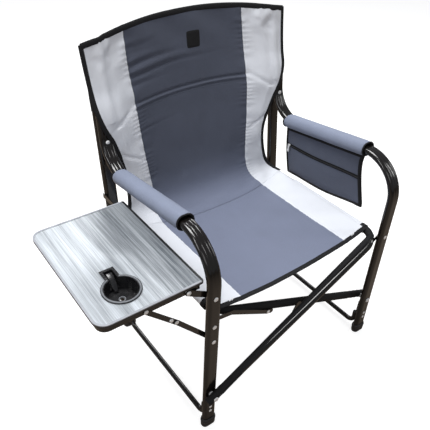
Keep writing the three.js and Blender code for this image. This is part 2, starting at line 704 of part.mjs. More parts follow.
// ---- pouch on the right arm ---------------------------------------------------------------
const POUCH_ANGLE = Math.atan(ARM_SLOPE);
const POUCH_FRONT_Y = 122;
const POUCH_LENGTH = 312;
const POUCH_HEIGHT = 166;
const POUCH_TOP_Z = 612;
const ZIP_DOWN = 58;
const POUCH_X = HALF_SPAN + 2;

function pouch(root) {
  const group = new THREE.Group();
  group.position.set(POUCH_X, POUCH_FRONT_Y, POUCH_TOP_Z);
  group.rotation.x = -POUCH_ANGLE;
  root.add(group);
  const radius = 12;
  const outline = [
    new THREE.Vector2(0, 0),
    new THREE.Vector2(POUCH_LENGTH, 0),
    new THREE.Vector2(POUCH_LENGTH, radius - POUCH_HEIGHT),
    new THREE.Vector2(POUCH_LENGTH - 0.3 * radius, 0.3 * radius - POUCH_HEIGHT),
    new THREE.Vector2(POUCH_LENGTH - radius, -POUCH_HEIGHT),
    new THREE.Vector2(radius, -POUCH_HEIGHT),
    new THREE.Vector2(0.3 * radius, 0.3 * radius - POUCH_HEIGHT),
    new THREE.Vector2(0, radius - POUCH_HEIGHT),
  ];
  const bag = slab(polygon(outline), -4, 4).transform(STAND_UP);
  place(bag, "pouch", SLATE, group);
  const tape = new THREE.BoxGeometry(1.6, POUCH_LENGTH - 4, 7);
  tape.translate(-4 - GAP - 0.8, POUCH_LENGTH / 2, -ZIP_DOWN);
  place(solid(tape), "zip_tape", BLACK_PLASTIC, group);
  const slider = new THREE.BoxGeometry(3.4, 9, 8);
  slider.translate(-4 - GAP - 1.6 - GAP - 1.7, POUCH_LENGTH - 8, -ZIP_DOWN);
  const puller = new THREE.BoxGeometry(1.6, 5, 22);
  puller.translate(-4 - GAP - 1.6 - GAP - 3.0, POUCH_LENGTH - 8, -ZIP_DOWN - 13);
  place(solid(slider).add(solid(puller)), "zip_slider", STEEL, group);
}
// Column-major matrix that stands an outline of (along, up) in the YZ plane.
const STAND_UP = [0, 1, 0, 0, 0, 0, 1, 0, 1, 0, 0, 0, 0, 0, 0, 1];

// ---- assembly -----------------------------------------------------------------------------
const chair = new THREE.Group();
const SIDES = [
  { name: "left", x: -HALF_SPAN, rivets: [LINK_PIVOT_Z, STAY_LEG.y] },
  { name: "right", x: HALF_SPAN, rivets: [LINK_PIVOT_Z] },
];
for (const side of SIDES) {
  const frame = sideFrame(side, chair);
  backSleeve(side, frame);
}
const frameA = crossFrame("cross_frame_a", FRAME_A, false, chair);
const frameB = crossFrame("cross_frame_b", FRAME_B, true, chair);
const plateThickness = 2.2;
const aFrontHalfway = (FRAME_A.front[0] + FRAME_A.front[1]) / 2;
const aPlateFront = aFrontHalfway + ROUND_TUBE + 2 * GAP + 0.3;
const bPlateBack = FRAME_B.front[1] - ROUND_TUBE - GAP;
centrePlate("centre_plate_front_a", false, aPlateFront, aPlateFront + plateThickness, frameA);
centrePlate("centre_plate_front_b", true, bPlateBack - plateThickness, bPlateBack, frameB);
const centreRear = (FRAME_A.rear[0] + FRAME_A.rear[1] + ROUND_TUBE * 2) / 2;
const rearPlate = 1.4;
centrePlate("centre_plate_rear_a", false, centreRear + 0.5, centreRear + 0.5 + rearPlate, frameA);
const rearBack = FRAME_B.rear[0] - ROUND_TUBE - GAP;
centrePlate("centre_plate_rear_b", true, rearBack - rearPlate, rearBack, frameB);
pin("centre_pin_front", CENTRE_PIVOT.x, CENTRE_PIVOT.y, aPlateFront, bPlateBack, frameA);
pin("centre_pin_rear", CENTRE_PIVOT.x, CENTRE_PIVOT.y, centreRear + 0.5, rearBack, frameA);

seatLink("seat_link_right", false, new THREE.Vector2(284, 381), new THREE.Vector2(240, 376), chair);
seatLink("seat_link_left", true, new THREE.Vector2(284, 397), new THREE.Vector2(240, 391), chair);
linkLug("link_lug_right", false, 2.4, LINK_PLANE[0] - GAP, frameA);
linkLug("link_lug_left", true, LINK_PLANE[1] + GAP, FRAME_B.front[1] - ROUND_TUBE - GAP, frameB);

table(chair);
tableHinge(chair);
stay(chair);
pins(chair);
seat(chair);
back(chair);
pouch(chair);

// the origin is the bottom centre of the whole object
const bounds = new THREE.Box3().setFromObject(chair);
const centre = bounds.getCenter(new THREE.Vector3());
chair.position.set(-centre.x, -centre.y, -bounds.min.z);

export default chair;
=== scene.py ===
"""Looks for the folding director chair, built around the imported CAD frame."""
import math

import bpy
import numpy as np
from mathutils import Matrix, Vector, noise


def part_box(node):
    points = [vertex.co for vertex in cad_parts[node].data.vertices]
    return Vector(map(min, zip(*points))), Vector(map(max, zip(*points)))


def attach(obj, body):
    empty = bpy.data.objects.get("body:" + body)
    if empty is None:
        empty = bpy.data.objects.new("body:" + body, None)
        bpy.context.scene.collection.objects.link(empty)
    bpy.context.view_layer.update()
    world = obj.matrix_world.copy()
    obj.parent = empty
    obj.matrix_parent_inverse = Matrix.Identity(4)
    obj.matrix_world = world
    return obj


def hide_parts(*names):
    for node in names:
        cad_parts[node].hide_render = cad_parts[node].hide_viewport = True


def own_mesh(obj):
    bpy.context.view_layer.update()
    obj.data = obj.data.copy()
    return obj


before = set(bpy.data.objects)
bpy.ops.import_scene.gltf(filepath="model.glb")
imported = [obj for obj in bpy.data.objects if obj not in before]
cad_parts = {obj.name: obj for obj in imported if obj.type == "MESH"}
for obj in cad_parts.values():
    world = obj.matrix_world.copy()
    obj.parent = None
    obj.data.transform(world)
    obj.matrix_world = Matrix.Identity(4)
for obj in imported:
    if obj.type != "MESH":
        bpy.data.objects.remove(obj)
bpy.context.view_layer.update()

# ---- frame of reference: millimetres, origin on the floor midway between the side frames
TUBE_WIDE, TUBE_DEEP = 38.0, 19.0  # the flat-oval tube's section
LEG_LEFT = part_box("leg_arm_tube_left")
LEG_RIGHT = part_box("leg_arm_tube_right")
SHIFT = np.array([
    (LEG_LEFT[0].x + LEG_LEFT[1].x + LEG_RIGHT[0].x + LEG_RIGHT[1].x) / 4,
    LEG_LEFT[0].y + TUBE_DEEP / 2000,
    0.0,
])
HALF_SPAN = 310.0  # from the middle to the centre of each side frame
ARM_SLOPE = math.tan(math.radians(7.5))
ARM_AT_LEG = 649.0  # height at which the arm's line crosses the front leg's
POST_FOOT_Y, POST_LEAN, POST_TOP = 448.6, 0.1095, 906.0
RAIL_X, RAIL_Z = 284.7, 404.3  # centre lines of the two seat rails
CROSS_ANGLE = math.radians(23.8)
CROSS_PIVOT_Z = 142.0
CROSS_LENGTH, CROSS_OVERRUN = 650.0, 23.0  # from the lower pivot to the rail, and below the pivot
# y of each cross frame's front leg and of its rear leg, each at the lower pivot and at the rail
CROSS_LANES = {"a": ((-21.5, -2), (428, 406)), "b": ((27.5, 27.5), (440, 440))}
SIDES = (("left", -1), ("right", 1))


def row(points):
    """Millimetres in the design frame to metres in the row frame."""
    return np.asarray(points, float) / 1000 + SHIFT


def post_y(z):
    return POST_FOOT_Y + POST_LEAN * z


def post_face(z):
    """y of the leaning post's front face."""
    return post_y(z) - TUBE_DEEP / 2 * math.hypot(1, POST_LEAN)


# ---- camera
CAMERA_PLACE = (-855.15, -690.15, 1362.27)
CAMERA_DEGREES = (-35.75, 36.13, 1.22)  # azimuth, elevation, roll
CAMERA_LENS = 44.75
CAMERA_SHIFT = (0.039, 0.0018)


def add_camera():
    azimuth, elevation, roll = (math.radians(a) for a in CAMERA_DEGREES)
    back = Vector((math.sin(azimuth) * math.cos(elevation),
                   -math.cos(azimuth) * math.cos(elevation), math.sin(elevation)))
    right = Vector((0, 0, 1)).cross(back).normalized()
    up = back.cross(right)
    c, s = math.cos(roll), math.sin(roll)
    right, up = c * right + s * up, c * up - s * right
    data = bpy.data.cameras.new("camera")
    data.sensor_width = 36
    data.lens = CAMERA_LENS
    data.shift_x, data.shift_y = CAMERA_SHIFT
    camera = bpy.data.objects.new("camera", data)
    bpy.context.scene.collection.objects.link(camera)
    place = Vector(row(CAMERA_PLACE))
    matrix = Matrix((right, up, back)).transposed().to_4x4()
    camera.matrix_world = Matrix.Translation(place) @ matrix
    bpy.context.scene.camera = camera


add_camera()


# ---- materials
class Nodes:
    """A Principled material with short ways to add the nodes behind it."""

    def __init__(self, name, color, roughness, metallic=0.0, **sockets):
        self.material = bpy.data.materials.new(name)
        self.material.use_nodes = True
        self.tree = self.material.node_tree
        self.shader = self.tree.nodes["Principled BSDF"]
        self.shader.inputs["Base Color"].default_value = (*color, 1)
        self.shader.inputs["Roughness"].default_value = roughness
        self.shader.inputs["Metallic"].default_value = metallic
        for key, value in sockets.items():
            self.shader.inputs[key.replace("_", " ")].default_value = value
        self.material.diffuse_color = (*color, 1)
        self.where = self.tree.nodes.new("ShaderNodeTexCoord").outputs["Object"]

    def link(self, value, socket):
        if isinstance(value, (int, float)):
            socket.default_value = value
        else:
            self.tree.links.new(value, socket)

    def math(self, operation, a, b=0.0):
        node = self.tree.nodes.new("ShaderNodeMath")
        node.operation = operation
        self.link(a, node.inputs[0])
        self.link(b, node.inputs[1])
        return node.outputs[0]

    def along(self, direction):
        node = self.tree.nodes.new("ShaderNodeVectorMath")
        node.operation = "DOT_PRODUCT"
        self.tree.links.new(self.where, node.inputs[0])
        node.inputs[1].default_value = direction
        return node.outputs["Value"]

    def wave(self, direction, pitch):
        return self.math("SINE", self.math("MULTIPLY", self.along(direction), 2 * math.pi / pitch))

    def noise(self, scale, detail=3.0, stretch=(1, 1, 1), rough=0.55):
        mapping = self.tree.nodes.new("ShaderNodeMapping")
        mapping.inputs["Scale"].default_value = stretch
        self.tree.links.new(self.where, mapping.inputs["Vector"])
        node = self.tree.nodes.new("ShaderNodeTexNoise")
        node.inputs["Scale"].default_value = scale
        node.inputs["Detail"].default_value = detail
        node.inputs["Roughness"].default_value = rough
        self.tree.links.new(mapping.outputs[0], node.inputs["Vector"])
        return node.outputs["Fac"]

    def ramp(self, value, stops):
        node = self.tree.nodes.new("ShaderNodeValToRGB")
        self.link(value, node.inputs[0])
        ramp = node.color_ramp
        while len(ramp.elements) < len(stops):
            ramp.elements.new(0.5)
        for element, (at, color) in zip(ramp.elements, stops):
            element.position = at
            element.color = (*color, 1)
        return node.outputs[0]

    def range(self, value, low, high, start=0.25, end=0.75, kind="LINEAR"):
        """low up to the value start, high from the value end, and between them on the way."""
        node = self.tree.nodes.new("ShaderNodeMapRange")
        node.interpolation_type = kind
        self.link(value, node.inputs["Value"])
        for socket, limit in zip(("From Min", "From Max", "To Min", "To Max"),
                                 (start, end, low, high)):
            node.inputs[socket].default_value = limit
        return node.outputs[0]

    def scaled(self, color, factor):
        node = self.tree.nodes.new("ShaderNodeVectorMath")
        node.operation = "SCALE"
        self.tree.links.new(color, node.inputs[0])
        self.tree.links.new(factor, node.inputs["Scale"])
        return node.outputs["Vector"]

    def color(self, value):
        self.tree.links.new(value, self.shader.inputs["Base Color"])

    def roughness(self, value):
        self.tree.links.new(value, self.shader.inputs["Roughness"])

    def bump(self, height, strength, distance):
        node = self.tree.nodes.new("ShaderNodeBump")
        node.inputs["Strength"].default_value = strength
        node.inputs["Distance"].default_value = distance
        self.link(height, node.inputs["Height"])
        self.tree.links.new(node.outputs[0], self.shader.inputs["Normal"])


def shade(color, factor):
    return tuple(min(c * factor, 1) for c in color)


SHADE_FADE_START, SHADE_FULL_FROM = 0.41, 0.58  # heights in metres between which the painted shade on the back fades in
BLACK = (0.008, 0.008, 0.009)


def fabric(name, color, warp=(1, 0, 0), weft=(0, 0.7, 0.7), pitch=0.0016, contrast=0.16,
           painted_back_shade=None):
    """A plain weave. Given a factor for the back, painted shade darkens the colour with height, from
    the seat up the back.
    """
    m = Nodes(name, color, 0.82, Sheen_Weight=0.06, Sheen_Roughness=0.5, Specular_IOR_Level=0.25)
    weave = m.math("MULTIPLY", m.wave(warp, pitch), m.wave(weft, pitch))
    slub = m.noise(900, 2)
    cloud = m.noise(14, 3)
    mix = m.math("ADD", m.math("MULTIPLY", weave, 0.12), m.math("MULTIPLY", slub, 0.5))
    mix = m.math("ADD", mix, m.math("MULTIPLY", cloud, 0.5))
    cloth = m.ramp(mix, [(0.2, shade(color, 1 - contrast)), (0.8, shade(color, 1 + contrast))])
    # painted shade: the colour is darkened with height, so the back comes out darker than the seat
    if painted_back_shade:
        height = m.math("ADD", m.along((0, 0, 1)), m.math("MULTIPLY", cloud, 0.05))
        tone = m.range(height, 1.0, painted_back_shade, SHADE_FADE_START, SHADE_FULL_FROM, "SMOOTHSTEP")
        cloth = m.scaled(cloth, tone)
    m.color(cloth)
    m.roughness(m.range(cloud, 0.74, 0.9))
    m.bump(m.math("ADD", weave, slub), 0.35, 0.0003)
    return m.material


def webbing(name, color, along, pitch=0.0024):
    m = Nodes(name, color, 0.75, Specular_IOR_Level=0.2)
    rib = m.wave(along, pitch)
    fuzz = m.noise(700, 2)
    m.color(m.ramp(m.math("ADD", m.math("MULTIPLY", rib, 0.15), fuzz),
                   [(0.25, shade(color, 0.6)), (0.8, shade(color, 1.7))]))
    m.bump(m.math("ADD", rib, fuzz), 0.4, 0.0003)
    return m.material


def paint(name):
    """Gloss black with a little orange peel, and paler where it is rubbed."""
    color, rubbed = (0.0055, 0.0047, 0.0042), (0.011, 0.0095, 0.0085)
    m = Nodes(name, color, 0.2, Specular_IOR_Level=0.5)
    peel = m.noise(420, 2)
    scuff = m.noise(60, 6, rough=0.7)
    m.color(m.ramp(scuff, [(0.0, shade(color, 0.8)), (0.62, color), (0.85, rubbed)]))
    m.roughness(m.range(scuff, 0.1, 0.2))
    m.bump(peel, 0.06, 0.0002)
    return m.material


def plastic(name, color, roughness=0.5, grain=0.12):
    m = Nodes(name, color, roughness)
    fine = m.noise(1500, 2)
    scuff = m.noise(45, 5, rough=0.65)
    m.color(m.ramp(scuff, [(0.3, shade(color, 0.85)), (0.75, shade(color, 1.3))]))
    m.roughness(m.range(scuff, roughness - 0.08, roughness + 0.14))
    m.bump(fine, grain, 0.0002)
    return m.material


def steel(name):
    color = (0.86, 0.87, 0.88)
    m = Nodes(name, color, 0.26, 0.25)
    wear = m.noise(160, 4)
    m.color(m.ramp(wear, [(0.3, shade(color, 0.75)), (0.7, shade(color, 1.1))]))
    m.roughness(m.range(wear, 0.18, 0.38))
    m.bump(wear, 0.1, 0.0002)
    return m.material


DARK_REFLECTION_OUT = 0.385  # distance in metres from the chair's middle to the panel's painted dark reflection
DARK_REFLECTION_WIDTH = 1 / 14


def brushed(name):
    """Streaks along the panel, and one broad dark band along its inner third, a painted reflection.
    """
    dark, light = (0.055, 0.068, 0.082), (0.56, 0.6, 0.64)
    m = Nodes(name, light, 0.36, 0.35, Anisotropic=0.5)
    hair = m.noise(6, 5, (46, 0.6, 1), 0.78)
    streak = m.noise(5, 3, (7, 0.3, 1), 0.6)
    # a broad dark band painted into the colour along the inner third stands in for a reflection; the
    # streaks are grain
    middle = float(SHIFT[0]) - DARK_REFLECTION_OUT
    away = m.math("DIVIDE", m.math("SUBTRACT", m.along((1, 0.1, 0)), middle), DARK_REFLECTION_WIDTH)
    falloff = m.math("MULTIPLY", -1.0, m.math("MULTIPLY", away, away))
    painted_reflection = m.math("MULTIPLY", m.math("POWER", math.e, falloff), 0.12)
    tone = m.math("ADD", m.math("MULTIPLY", hair, 0.52), m.math("MULTIPLY", streak, 0.24))
    tone = m.math("SUBTRACT", tone, painted_reflection)
    m.color(m.ramp(tone, [(0.17, dark), (0.33, shade(light, 0.55)), (0.47, light)]))
    m.roughness(m.range(hair, 0.28, 0.46))
    m.bump(hair, 0.12, 0.0003)
    return m.material


TRIM_SHOULDER = 0.5447  # metres: the trim's top is grey above this height
TRIM_INNER_EDGE = 0.337  # metres from the chair's middle: it is black inside this


def trim_finish(name):
    """Satin grey on top, black down the side and along the edge beside the seat."""
    m = Nodes(name, (0.2, 0.21, 0.23), 0.4)
    height = m.math("GREATER_THAN", m.along((0, 0, 1)), TRIM_SHOULDER)
    outer = m.math("LESS_THAN", m.along((1, 0, 0)), float(SHIFT[0]) - TRIM_INNER_EDGE)
    scuff = m.noise(45, 5)
    grey = m.math("MULTIPLY", height, outer)
    m.color(m.ramp(m.math("MULTIPLY", grey, m.range(scuff, 0.8, 1.0)),
                   [(0.0, BLACK), (1.0, (0.3, 0.315, 0.345))]))
    m.roughness(m.range(scuff, 0.32, 0.5))
    m.bump(m.noise(1500, 2), 0.1, 0.0002)
    return m.material


SLATE = (0.15, 0.17, 0.238)
PALE = (0.62, 0.64, 0.685)
MAT_PAINT = paint("gloss_black_paint")
MAT_PLASTIC = plastic("moulded_black", (0.018, 0.018, 0.019))
MAT_TRIM = trim_finish("grey_edge_trim")
MAT_RIM = plastic("grey_rim", (0.13, 0.137, 0.15), 0.4)
MAT_CUP = plastic("glossy_black_cup", BLACK, 0.24, 0.05)
MAT_STEEL = steel("bright_rivet_steel")
MAT_PANEL = brushed("brushed_panel")
# the slate cloth carries painted shade, darker up the back than on the seat
MAT_SLATE = fabric("slate_polyester", SLATE, painted_back_shade=0.41)
MAT_PALE = fabric("silver_grey_polyester", PALE, contrast=0.07)
MAT_ARM = fabric("arm_pad_polyester", (0.17, 0.194, 0.26), (1, 0, 0.6), (0, 1, 0))
MAT_POUCH = fabric("pouch_polyester", shade(SLATE, 0.5), (0, 1, 0), (0, 0, 1))
MAT_BIND = webbing("black_binding", BLACK, (1, 0.7, 0.7))
MAT_LINING = fabric("dark_lining", BLACK)
MAT_THREAD = fabric("pale_thread", (0.72, 0.73, 0.75), pitch=0.0008)
MAT_DARK_THREAD = fabric("slate_thread", shade(SLATE, 0.3), pitch=0.0008)


# ---- meshes
ARC_STEPS = 14


def make(name, points, faces, materials, body, slot, stands_for=None, zones=None, sharp=40):
    """A named piece from design-frame points, riding on a body and standing for a CAD node.

    zones gives the number of each face's material.
    """
    mesh = bpy.data.meshes.new(name)
    mesh.from_pydata([tuple(p) for p in row(points)], [], [tuple(f) for f in faces])
    for material in materials:
        mesh.materials.append(material)
    if zones is not None:
        mesh.polygons.foreach_set("material_index", zones)
    mesh.validate()
    mesh.shade_smooth()
    mesh.set_sharp_from_angle(angle=math.radians(sharp))
    piece = bpy.data.objects.new(name, mesh)
    bpy.context.scene.collection.objects.link(piece)
    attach(piece, body)
    if stands_for:
        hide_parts(stands_for)
    return piece


def webbing_piece(name, mesh, body):
    return make(name, *mesh, [MAT_BIND], body, "black_webbing")


def joined(parts):
    """One (points, faces) from several."""
    points, faces, base = [], [], 0
    for p, f in parts:
        points.append(np.asarray(p, float))
        faces += [tuple(i + base for i in face) for face in f]
        base += len(p)
    return np.vstack(points), faces


def grid_faces(columns, rows):
    """Quads of a grid that has this many points across and faces up."""
    return [(a, a + 1, a + 1 + columns, a + columns)
            for j in range(rows) for a in range(j * columns, (j + 1) * columns - 1)]


def tube_mesh(rings, closed=False, caps=True):
    """Quads between equal rings of points, with end caps."""
    rings = np.asarray(rings, float)
    count, around, _ = rings.shape
    faces = []
    for k in range(count if closed else count - 1):
        a, b = k * around, ((k + 1) % count) * around
        for j in range(around):
            i = (j + 1) % around
            faces.append((a + j, a + i, b + i, b + j))
    if caps and not closed:
        faces.append(tuple(reversed(range(around))))
        faces.append(tuple((count - 1) * around + j for j in range(around)))
    return rings.reshape(-1, 3), faces


def level_ring(section, x, y, z):
    """A section laid flat at a height."""
    return np.column_stack([x + section[:, 0], y + section[:, 1], np.full(len(section), z)])


def directions(path, closed=False):
    """The unit tangent at each point of a path."""
    d = np.roll(path, -1, 0) - np.roll(path, 1, 0) if closed else np.gradient(path, axis=0)
    return d / np.linalg.norm(d, axis=1)[:, None]


def sweep(path, section, wide=(1, 0, 0), closed=False, caps=True):
    """Rings of a section along a path; wide gives the direction of the section's first axis."""
    path = np.asarray(path, float)
    tangent = directions(path, closed)
    wide = np.broadcast_to(np.asarray(wide, float), path.shape)
    across = wide - (wide * tangent).sum(1)[:, None] * tangent
    across /= np.linalg.norm(across, axis=1)[:, None]
    normal = np.cross(tangent, across)
    section = np.asarray(section, float)
    if section.ndim == 2:
        section = np.broadcast_to(section, (len(path), *section.shape))
    rings = (path[:, None] + section[:, :, :1] * across[:, None]
             + section[:, :, 1:] * normal[:, None])
    return tube_mesh(rings, closed, caps)


def rounded_path(corners, radii):
    """A line through corners, with an arc of the given radius at each inner one."""
    corners = [np.asarray(c, float) for c in corners]
    out = [corners[0]]
    for i, radius in enumerate(radii, 1):
        c = corners[i]
        back = (corners[i - 1] - c) / np.linalg.norm(corners[i - 1] - c)
        on = (corners[i + 1] - c) / np.linalg.norm(corners[i + 1] - c)
        half = math.acos(np.clip(back @ on, -1, 1)) / 2
        middle = (back + on) / np.linalg.norm(back + on)
        centre = c + middle * radius / math.sin(half)
        a = c + back * radius / math.tan(half) - centre
        b = c + on * radius / math.tan(half) - centre
        sweep_angle = math.acos(np.clip(a @ b / radius**2, -1, 1))
        for k in range(ARC_STEPS + 1):
            t = sweep_angle * k / ARC_STEPS
            out.append(centre + (a * math.sin(sweep_angle - t) + b * math.sin(t))
                       / math.sin(sweep_angle))
    out.append(corners[-1])
    return np.array(out)


def dense(path, step=12.0):
    """The same line with more points on its straights."""
    out = [path[0]]
    for a, b in zip(path[:-1], path[1:]):
        count = max(1, int(np.linalg.norm(b - a) // step))
        out += [a + (b - a) * k / count for k in range(1, count + 1)]
    return np.array(out)


GROOVE_AT, GROOVE_HALF = 5.5, 2.0  # the rolled channels' distance from the middle, half width


def oval(wide, deep, per_end=14, groove=None):
    """A stadium section; groove is the depth of two channels along each flat side."""
    flat = (wide - deep) / 2
    points = []
    for side in (1, -1):
        for k in range(per_end + 1):
            a = -math.pi / 2 + math.pi * k / per_end + (math.pi if side < 0 else 0)
            points.append((side * flat + deep / 2 * math.cos(a), deep / 2 * math.sin(a)))
        if groove is not None:
            top = 1 if side > 0 else -1
            for middle in (GROOVE_AT, -GROOVE_AT):
                for step in (1, 0.5, 0, -0.5, -1):
                    x = middle + step * GROOVE_HALF
                    points.append((top * x, top * (deep / 2 - groove * (1 - abs(step)))))
    return np.array(points)


def circle(radius, sides=24):
    a = np.arange(sides) * 2 * math.pi / sides
    return np.stack([radius * np.cos(a), radius * np.sin(a)], 1)


# ---- CAD nodes that stay: better material, soft edges
PAINTED = ("rail_bracket", "centre_plate", "seat_link", "link_lug", "stay", "table_bracket",
           "table_frame")


def finish_node(name, material, bevel):
    """Gives a CAD node its material, smooth shading and a softened edge of bevel metres."""
    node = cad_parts[name]
    node.data.materials.clear()
    node.data.materials.append(material)
    node.data.shade_smooth()
    node.data.set_sharp_from_angle(angle=math.radians(32))
    modifier = node.modifiers.new("soft_edge", "BEVEL")
    modifier.width = bevel
    modifier.segments = 2
    modifier.limit_method = "ANGLE"
    modifier.angle_limit = math.radians(45)


for node_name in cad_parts:
    if "pin" in node_name or node_name.startswith("spacer") or node_name == "table_hinge_rod":
        finish_node(node_name, MAT_STEEL, 0.0004)
    elif node_name.startswith(PAINTED):
        finish_node(node_name, MAT_PAINT, 0.0005)
finish_node("table_top", MAT_PANEL, 0.0004)
finish_node("table_trim", MAT_TRIM, 0.0018)
finish_node("cup_holder", MAT_CUP, 0.0008)


# ---- tubes
RAIL_RADIUS, CROSS_RADIUS = 7.5, 9.5
RAIL_OFF_FRONT, RAIL_OFF_REAR = 3.9, 4.9
ARM_TOP_Z = 742.0  # where the arm's rear bend ends against the post
ARM_BEHIND = 19.3  # from the post's centre line to the arm tube's, square to both
GROOVE_DEPTH = 0.5


def arm_line(x):
    """Up the front leg, over the arch, back along the arm and up the post's front face."""
    end = POST_FOOT_Y - ARM_BEHIND / math.cos(math.atan(POST_LEAN))
    bend = (end + POST_LEAN * ARM_AT_LEG) / (1 + POST_LEAN * ARM_SLOPE)
    corners = [(x, 0, 4), (x, 0, ARM_AT_LEG), (x, bend, ARM_AT_LEG - ARM_SLOPE * bend),
               (x, end + POST_LEAN * ARM_TOP_Z, ARM_TOP_Z)]
    return rounded_path(corners, [112, 100])


def cross_line(letter, sign):
    """A U: up from one side's lower pivots, and along the seat rail of the other side."""
    front, rear = CROSS_LANES[letter]

    def at(along, y):
        return (sign * (-HALF_SPAN + along * math.cos(CROSS_ANGLE)), y,
                CROSS_PIVOT_Z + along * math.sin(CROSS_ANGLE))

    def low_end(lane):
        return at(-CROSS_OVERRUN, lane[0] - (lane[1] - lane[0]) * CROSS_OVERRUN / CROSS_LENGTH)

    corners = [low_end(front), at(CROSS_LENGTH, front[1]), at(CROSS_LENGTH, rear[1]), low_end(rear)]
    return rounded_path(corners, [52, 52])


def painted(name, mesh, body, stands_for):
    make(name, *mesh, [MAT_PAINT], body, "frame_paint", stands_for)


def tubes():
    plain = oval(TUBE_WIDE, TUBE_DEEP)
    for side, sign in SIDES:
        x, body = sign * HALF_SPAN, side + "_side"
        line = dense(arm_line(x))
        # the channels rolled into the arm fade out down the leg
        deep = np.clip((line[:, 2] - 520) / 60, 0, 1) * GROOVE_DEPTH
        sections = np.array([oval(TUBE_WIDE, TUBE_DEEP, groove=d) for d in deep])
        painted("side_tube_" + side, sweep(line, sections), body, "leg_arm_tube_" + side)
        post_path = dense(np.array([(x, post_y(z), z) for z in (4, POST_TOP)]), 30)
        painted("post_tube_" + side, sweep(post_path, plain), body, "back_post_" + side)
        # the low rail turns up at both ends, clear of the legs' faces and their brackets' plates
        front_y = TUBE_DEEP / 2 + RAIL_OFF_FRONT + RAIL_RADIUS
        rear_y = post_face(60) - RAIL_OFF_REAR - RAIL_RADIUS
        corners = [(x, front_y, 64), (x, front_y, 17), (x, rear_y, 17), (x, rear_y, 64)]
        rail = sweep(rounded_path(corners, [24, 24]), circle(RAIL_RADIUS))
        painted("floor_rail_" + side, rail, body, "lower_rail_" + side)
        for end, y, lean in (("front", 0.0, 0.0), ("rear", POST_FOOT_Y, POST_LEAN)):
            foot(side, end, x, y, lean, body)
    for letter, sign in (("a", 1), ("b", -1)):
        path = dense(cross_line(letter, sign), 25)
        normal = (-math.sin(CROSS_ANGLE) * sign, 0, math.cos(CROSS_ANGLE))
        painted("cross_tube_" + letter, sweep(path, circle(CROSS_RADIUS), normal),
                "frame_" + letter, f"cross_frame_{letter}_tube")


def foot(side, end, x, y, lean, body):
    """A ribbed cap with a rounded lower edge and a lip where the tube goes in."""
    # height, and how far the wall stands out from the cap's nominal 44 by 25 mm
    profile = ((0.05, -3.5), (0.9, -1), (4, -0.2), (20, 0.3), (21, 0.9), (23, 0.9), (24, 0.2),
               (27.5, 0.2), (29.5, -0.6), (30, -2.0))
    rings = [level_ring(oval(44 + 2 * grow, 25 + 2 * grow), x, y + lean * z, z)
             for z, grow in profile]
    make(f"foot_cap_{end}_{side}", *tube_mesh(rings), [MAT_PLASTIC], body, "plastic",
         f"foot_{end}_{side}")


tubes()


# ---- rivets
def dome(x, y, z, radius, height, toward=-1):
    """A low rivet head on a face whose normal is -Y or +Y."""
    rings = []
    for share, rise in ((1, -0.3), (1, 0.35), (0.86, 0.75), (0.5, 0.97), (0.12, 1)):
        ring = circle(radius * share, 20)
        rings.append(np.column_stack([x + ring[:, 0], np.full(20, y + toward * height * rise),
                                      z + ring[:, 1]]))
    return tube_mesh(rings)


def rivets(name, places, body):
    make(name, *joined([dome(*p) for p in places]), [MAT_STEEL], body, "steel")


FRONT = -TUBE_DEEP / 2  # y of the front legs' front faces
LINK_END = (115, 320.7)  # x and z of the seat links' rivets on the cross frames
side_rivets = {}
for side_name, side_sign in SIDES:
    leg_x = side_sign * HALF_SPAN
    heads = [(leg_x, FRONT, z, 4.5, 1.8) for z in (84, 66)]
    heads += [(leg_x, post_y(z) - FRONT + 0.1, z, 4.5, 1.8, 1) for z in (84, 66)]
    heads.append((leg_x, post_y(668) - 30.5, 668, 6, 2.4))  # where the arm meets the post
    side_rivets[side_name] = heads
side_rivets["left"] += [(-HALF_SPAN, FRONT, 491, 6, 2.2), (-372, 9.6, 528.5, 6, 2.4)]
for side_name, heads in side_rivets.items():
    rivets(f"rivets_{side_name}_side", heads, side_name + "_side")
link_x, link_z = LINK_END
rivets("rivet_link_left_end", [(-link_x, 9.8, link_z, 5.5, 1.8)], "link_left")
rivets("rivet_link_right_end",
       [(link_x, 9.8, link_z, 5.5, 1.8), (link_x, 11.6, link_z, 5.5, 1.6, 1)], "link_right")
rivets("rivets_table", [(-478, 14.7, 527, 5.5, 1.6)], "stay_table_half")
rivets("rivet_stay_knee", [(-402, 13.2, 451, 5.5, 1.6)], "stay_leg_half")
rivets("stay_stop", [(-416, 14.7, 465, 5.0, 3.4)], "stay_table_half")


# ---- fabric surface
# Stations from the seat's front hem to the back's top hem: share of the way, then the centre
# line's y and z, then the left and right half widths, the edges' y and z, and the two seams.
STATIONS = np.array([
    (0.00, 27, 403, 288, 288, 36, 415, -197, 190),
    (0.10, 126, 399, 288, 288, 136, 416.8, -197, 190),
    (0.20, 223, 396, 288, 288, 236, 416.8, -197, 190),
    (0.30, 320, 396, 288, 288, 340, 416.8, -197, 190),
    (0.37, 388, 400, 287, 286, 420, 417, -197, 190),
    (0.42, 430, 412, 282, 278, 456, 420, -192, 184),
    (0.47, 461, 442, 270, 262, 470, 440, -186, 174),
    (0.53, 480, 492, 264, 247, 475, 484, -184, 171),
    (0.60, 495, 552, 266, 242, 482, 546, -190, 176),
    (0.66, 507, 604, 273, 253, 487, 594, -195, 182),
    (0.74, 525, 676, 294, 283, 489, 663, -200, 186),
    (0.79, 535, 722, 314, 304, 490, 706, -202, 188),
    (0.84, 545, 772, 328, 319, 499, 755, -204, 188),
    (0.88, 553, 817, 332, 322, 514, 800, -207, 187),
    (0.94, 564, 886, 336, 322, 525, 862, -210, 184),
    (1.00, 575, 956, 340, 321, 532, 925, -209, 181),
])
SEAM_SHARE = 0.37
SEAT_COLUMNS = (22, 60, 22)


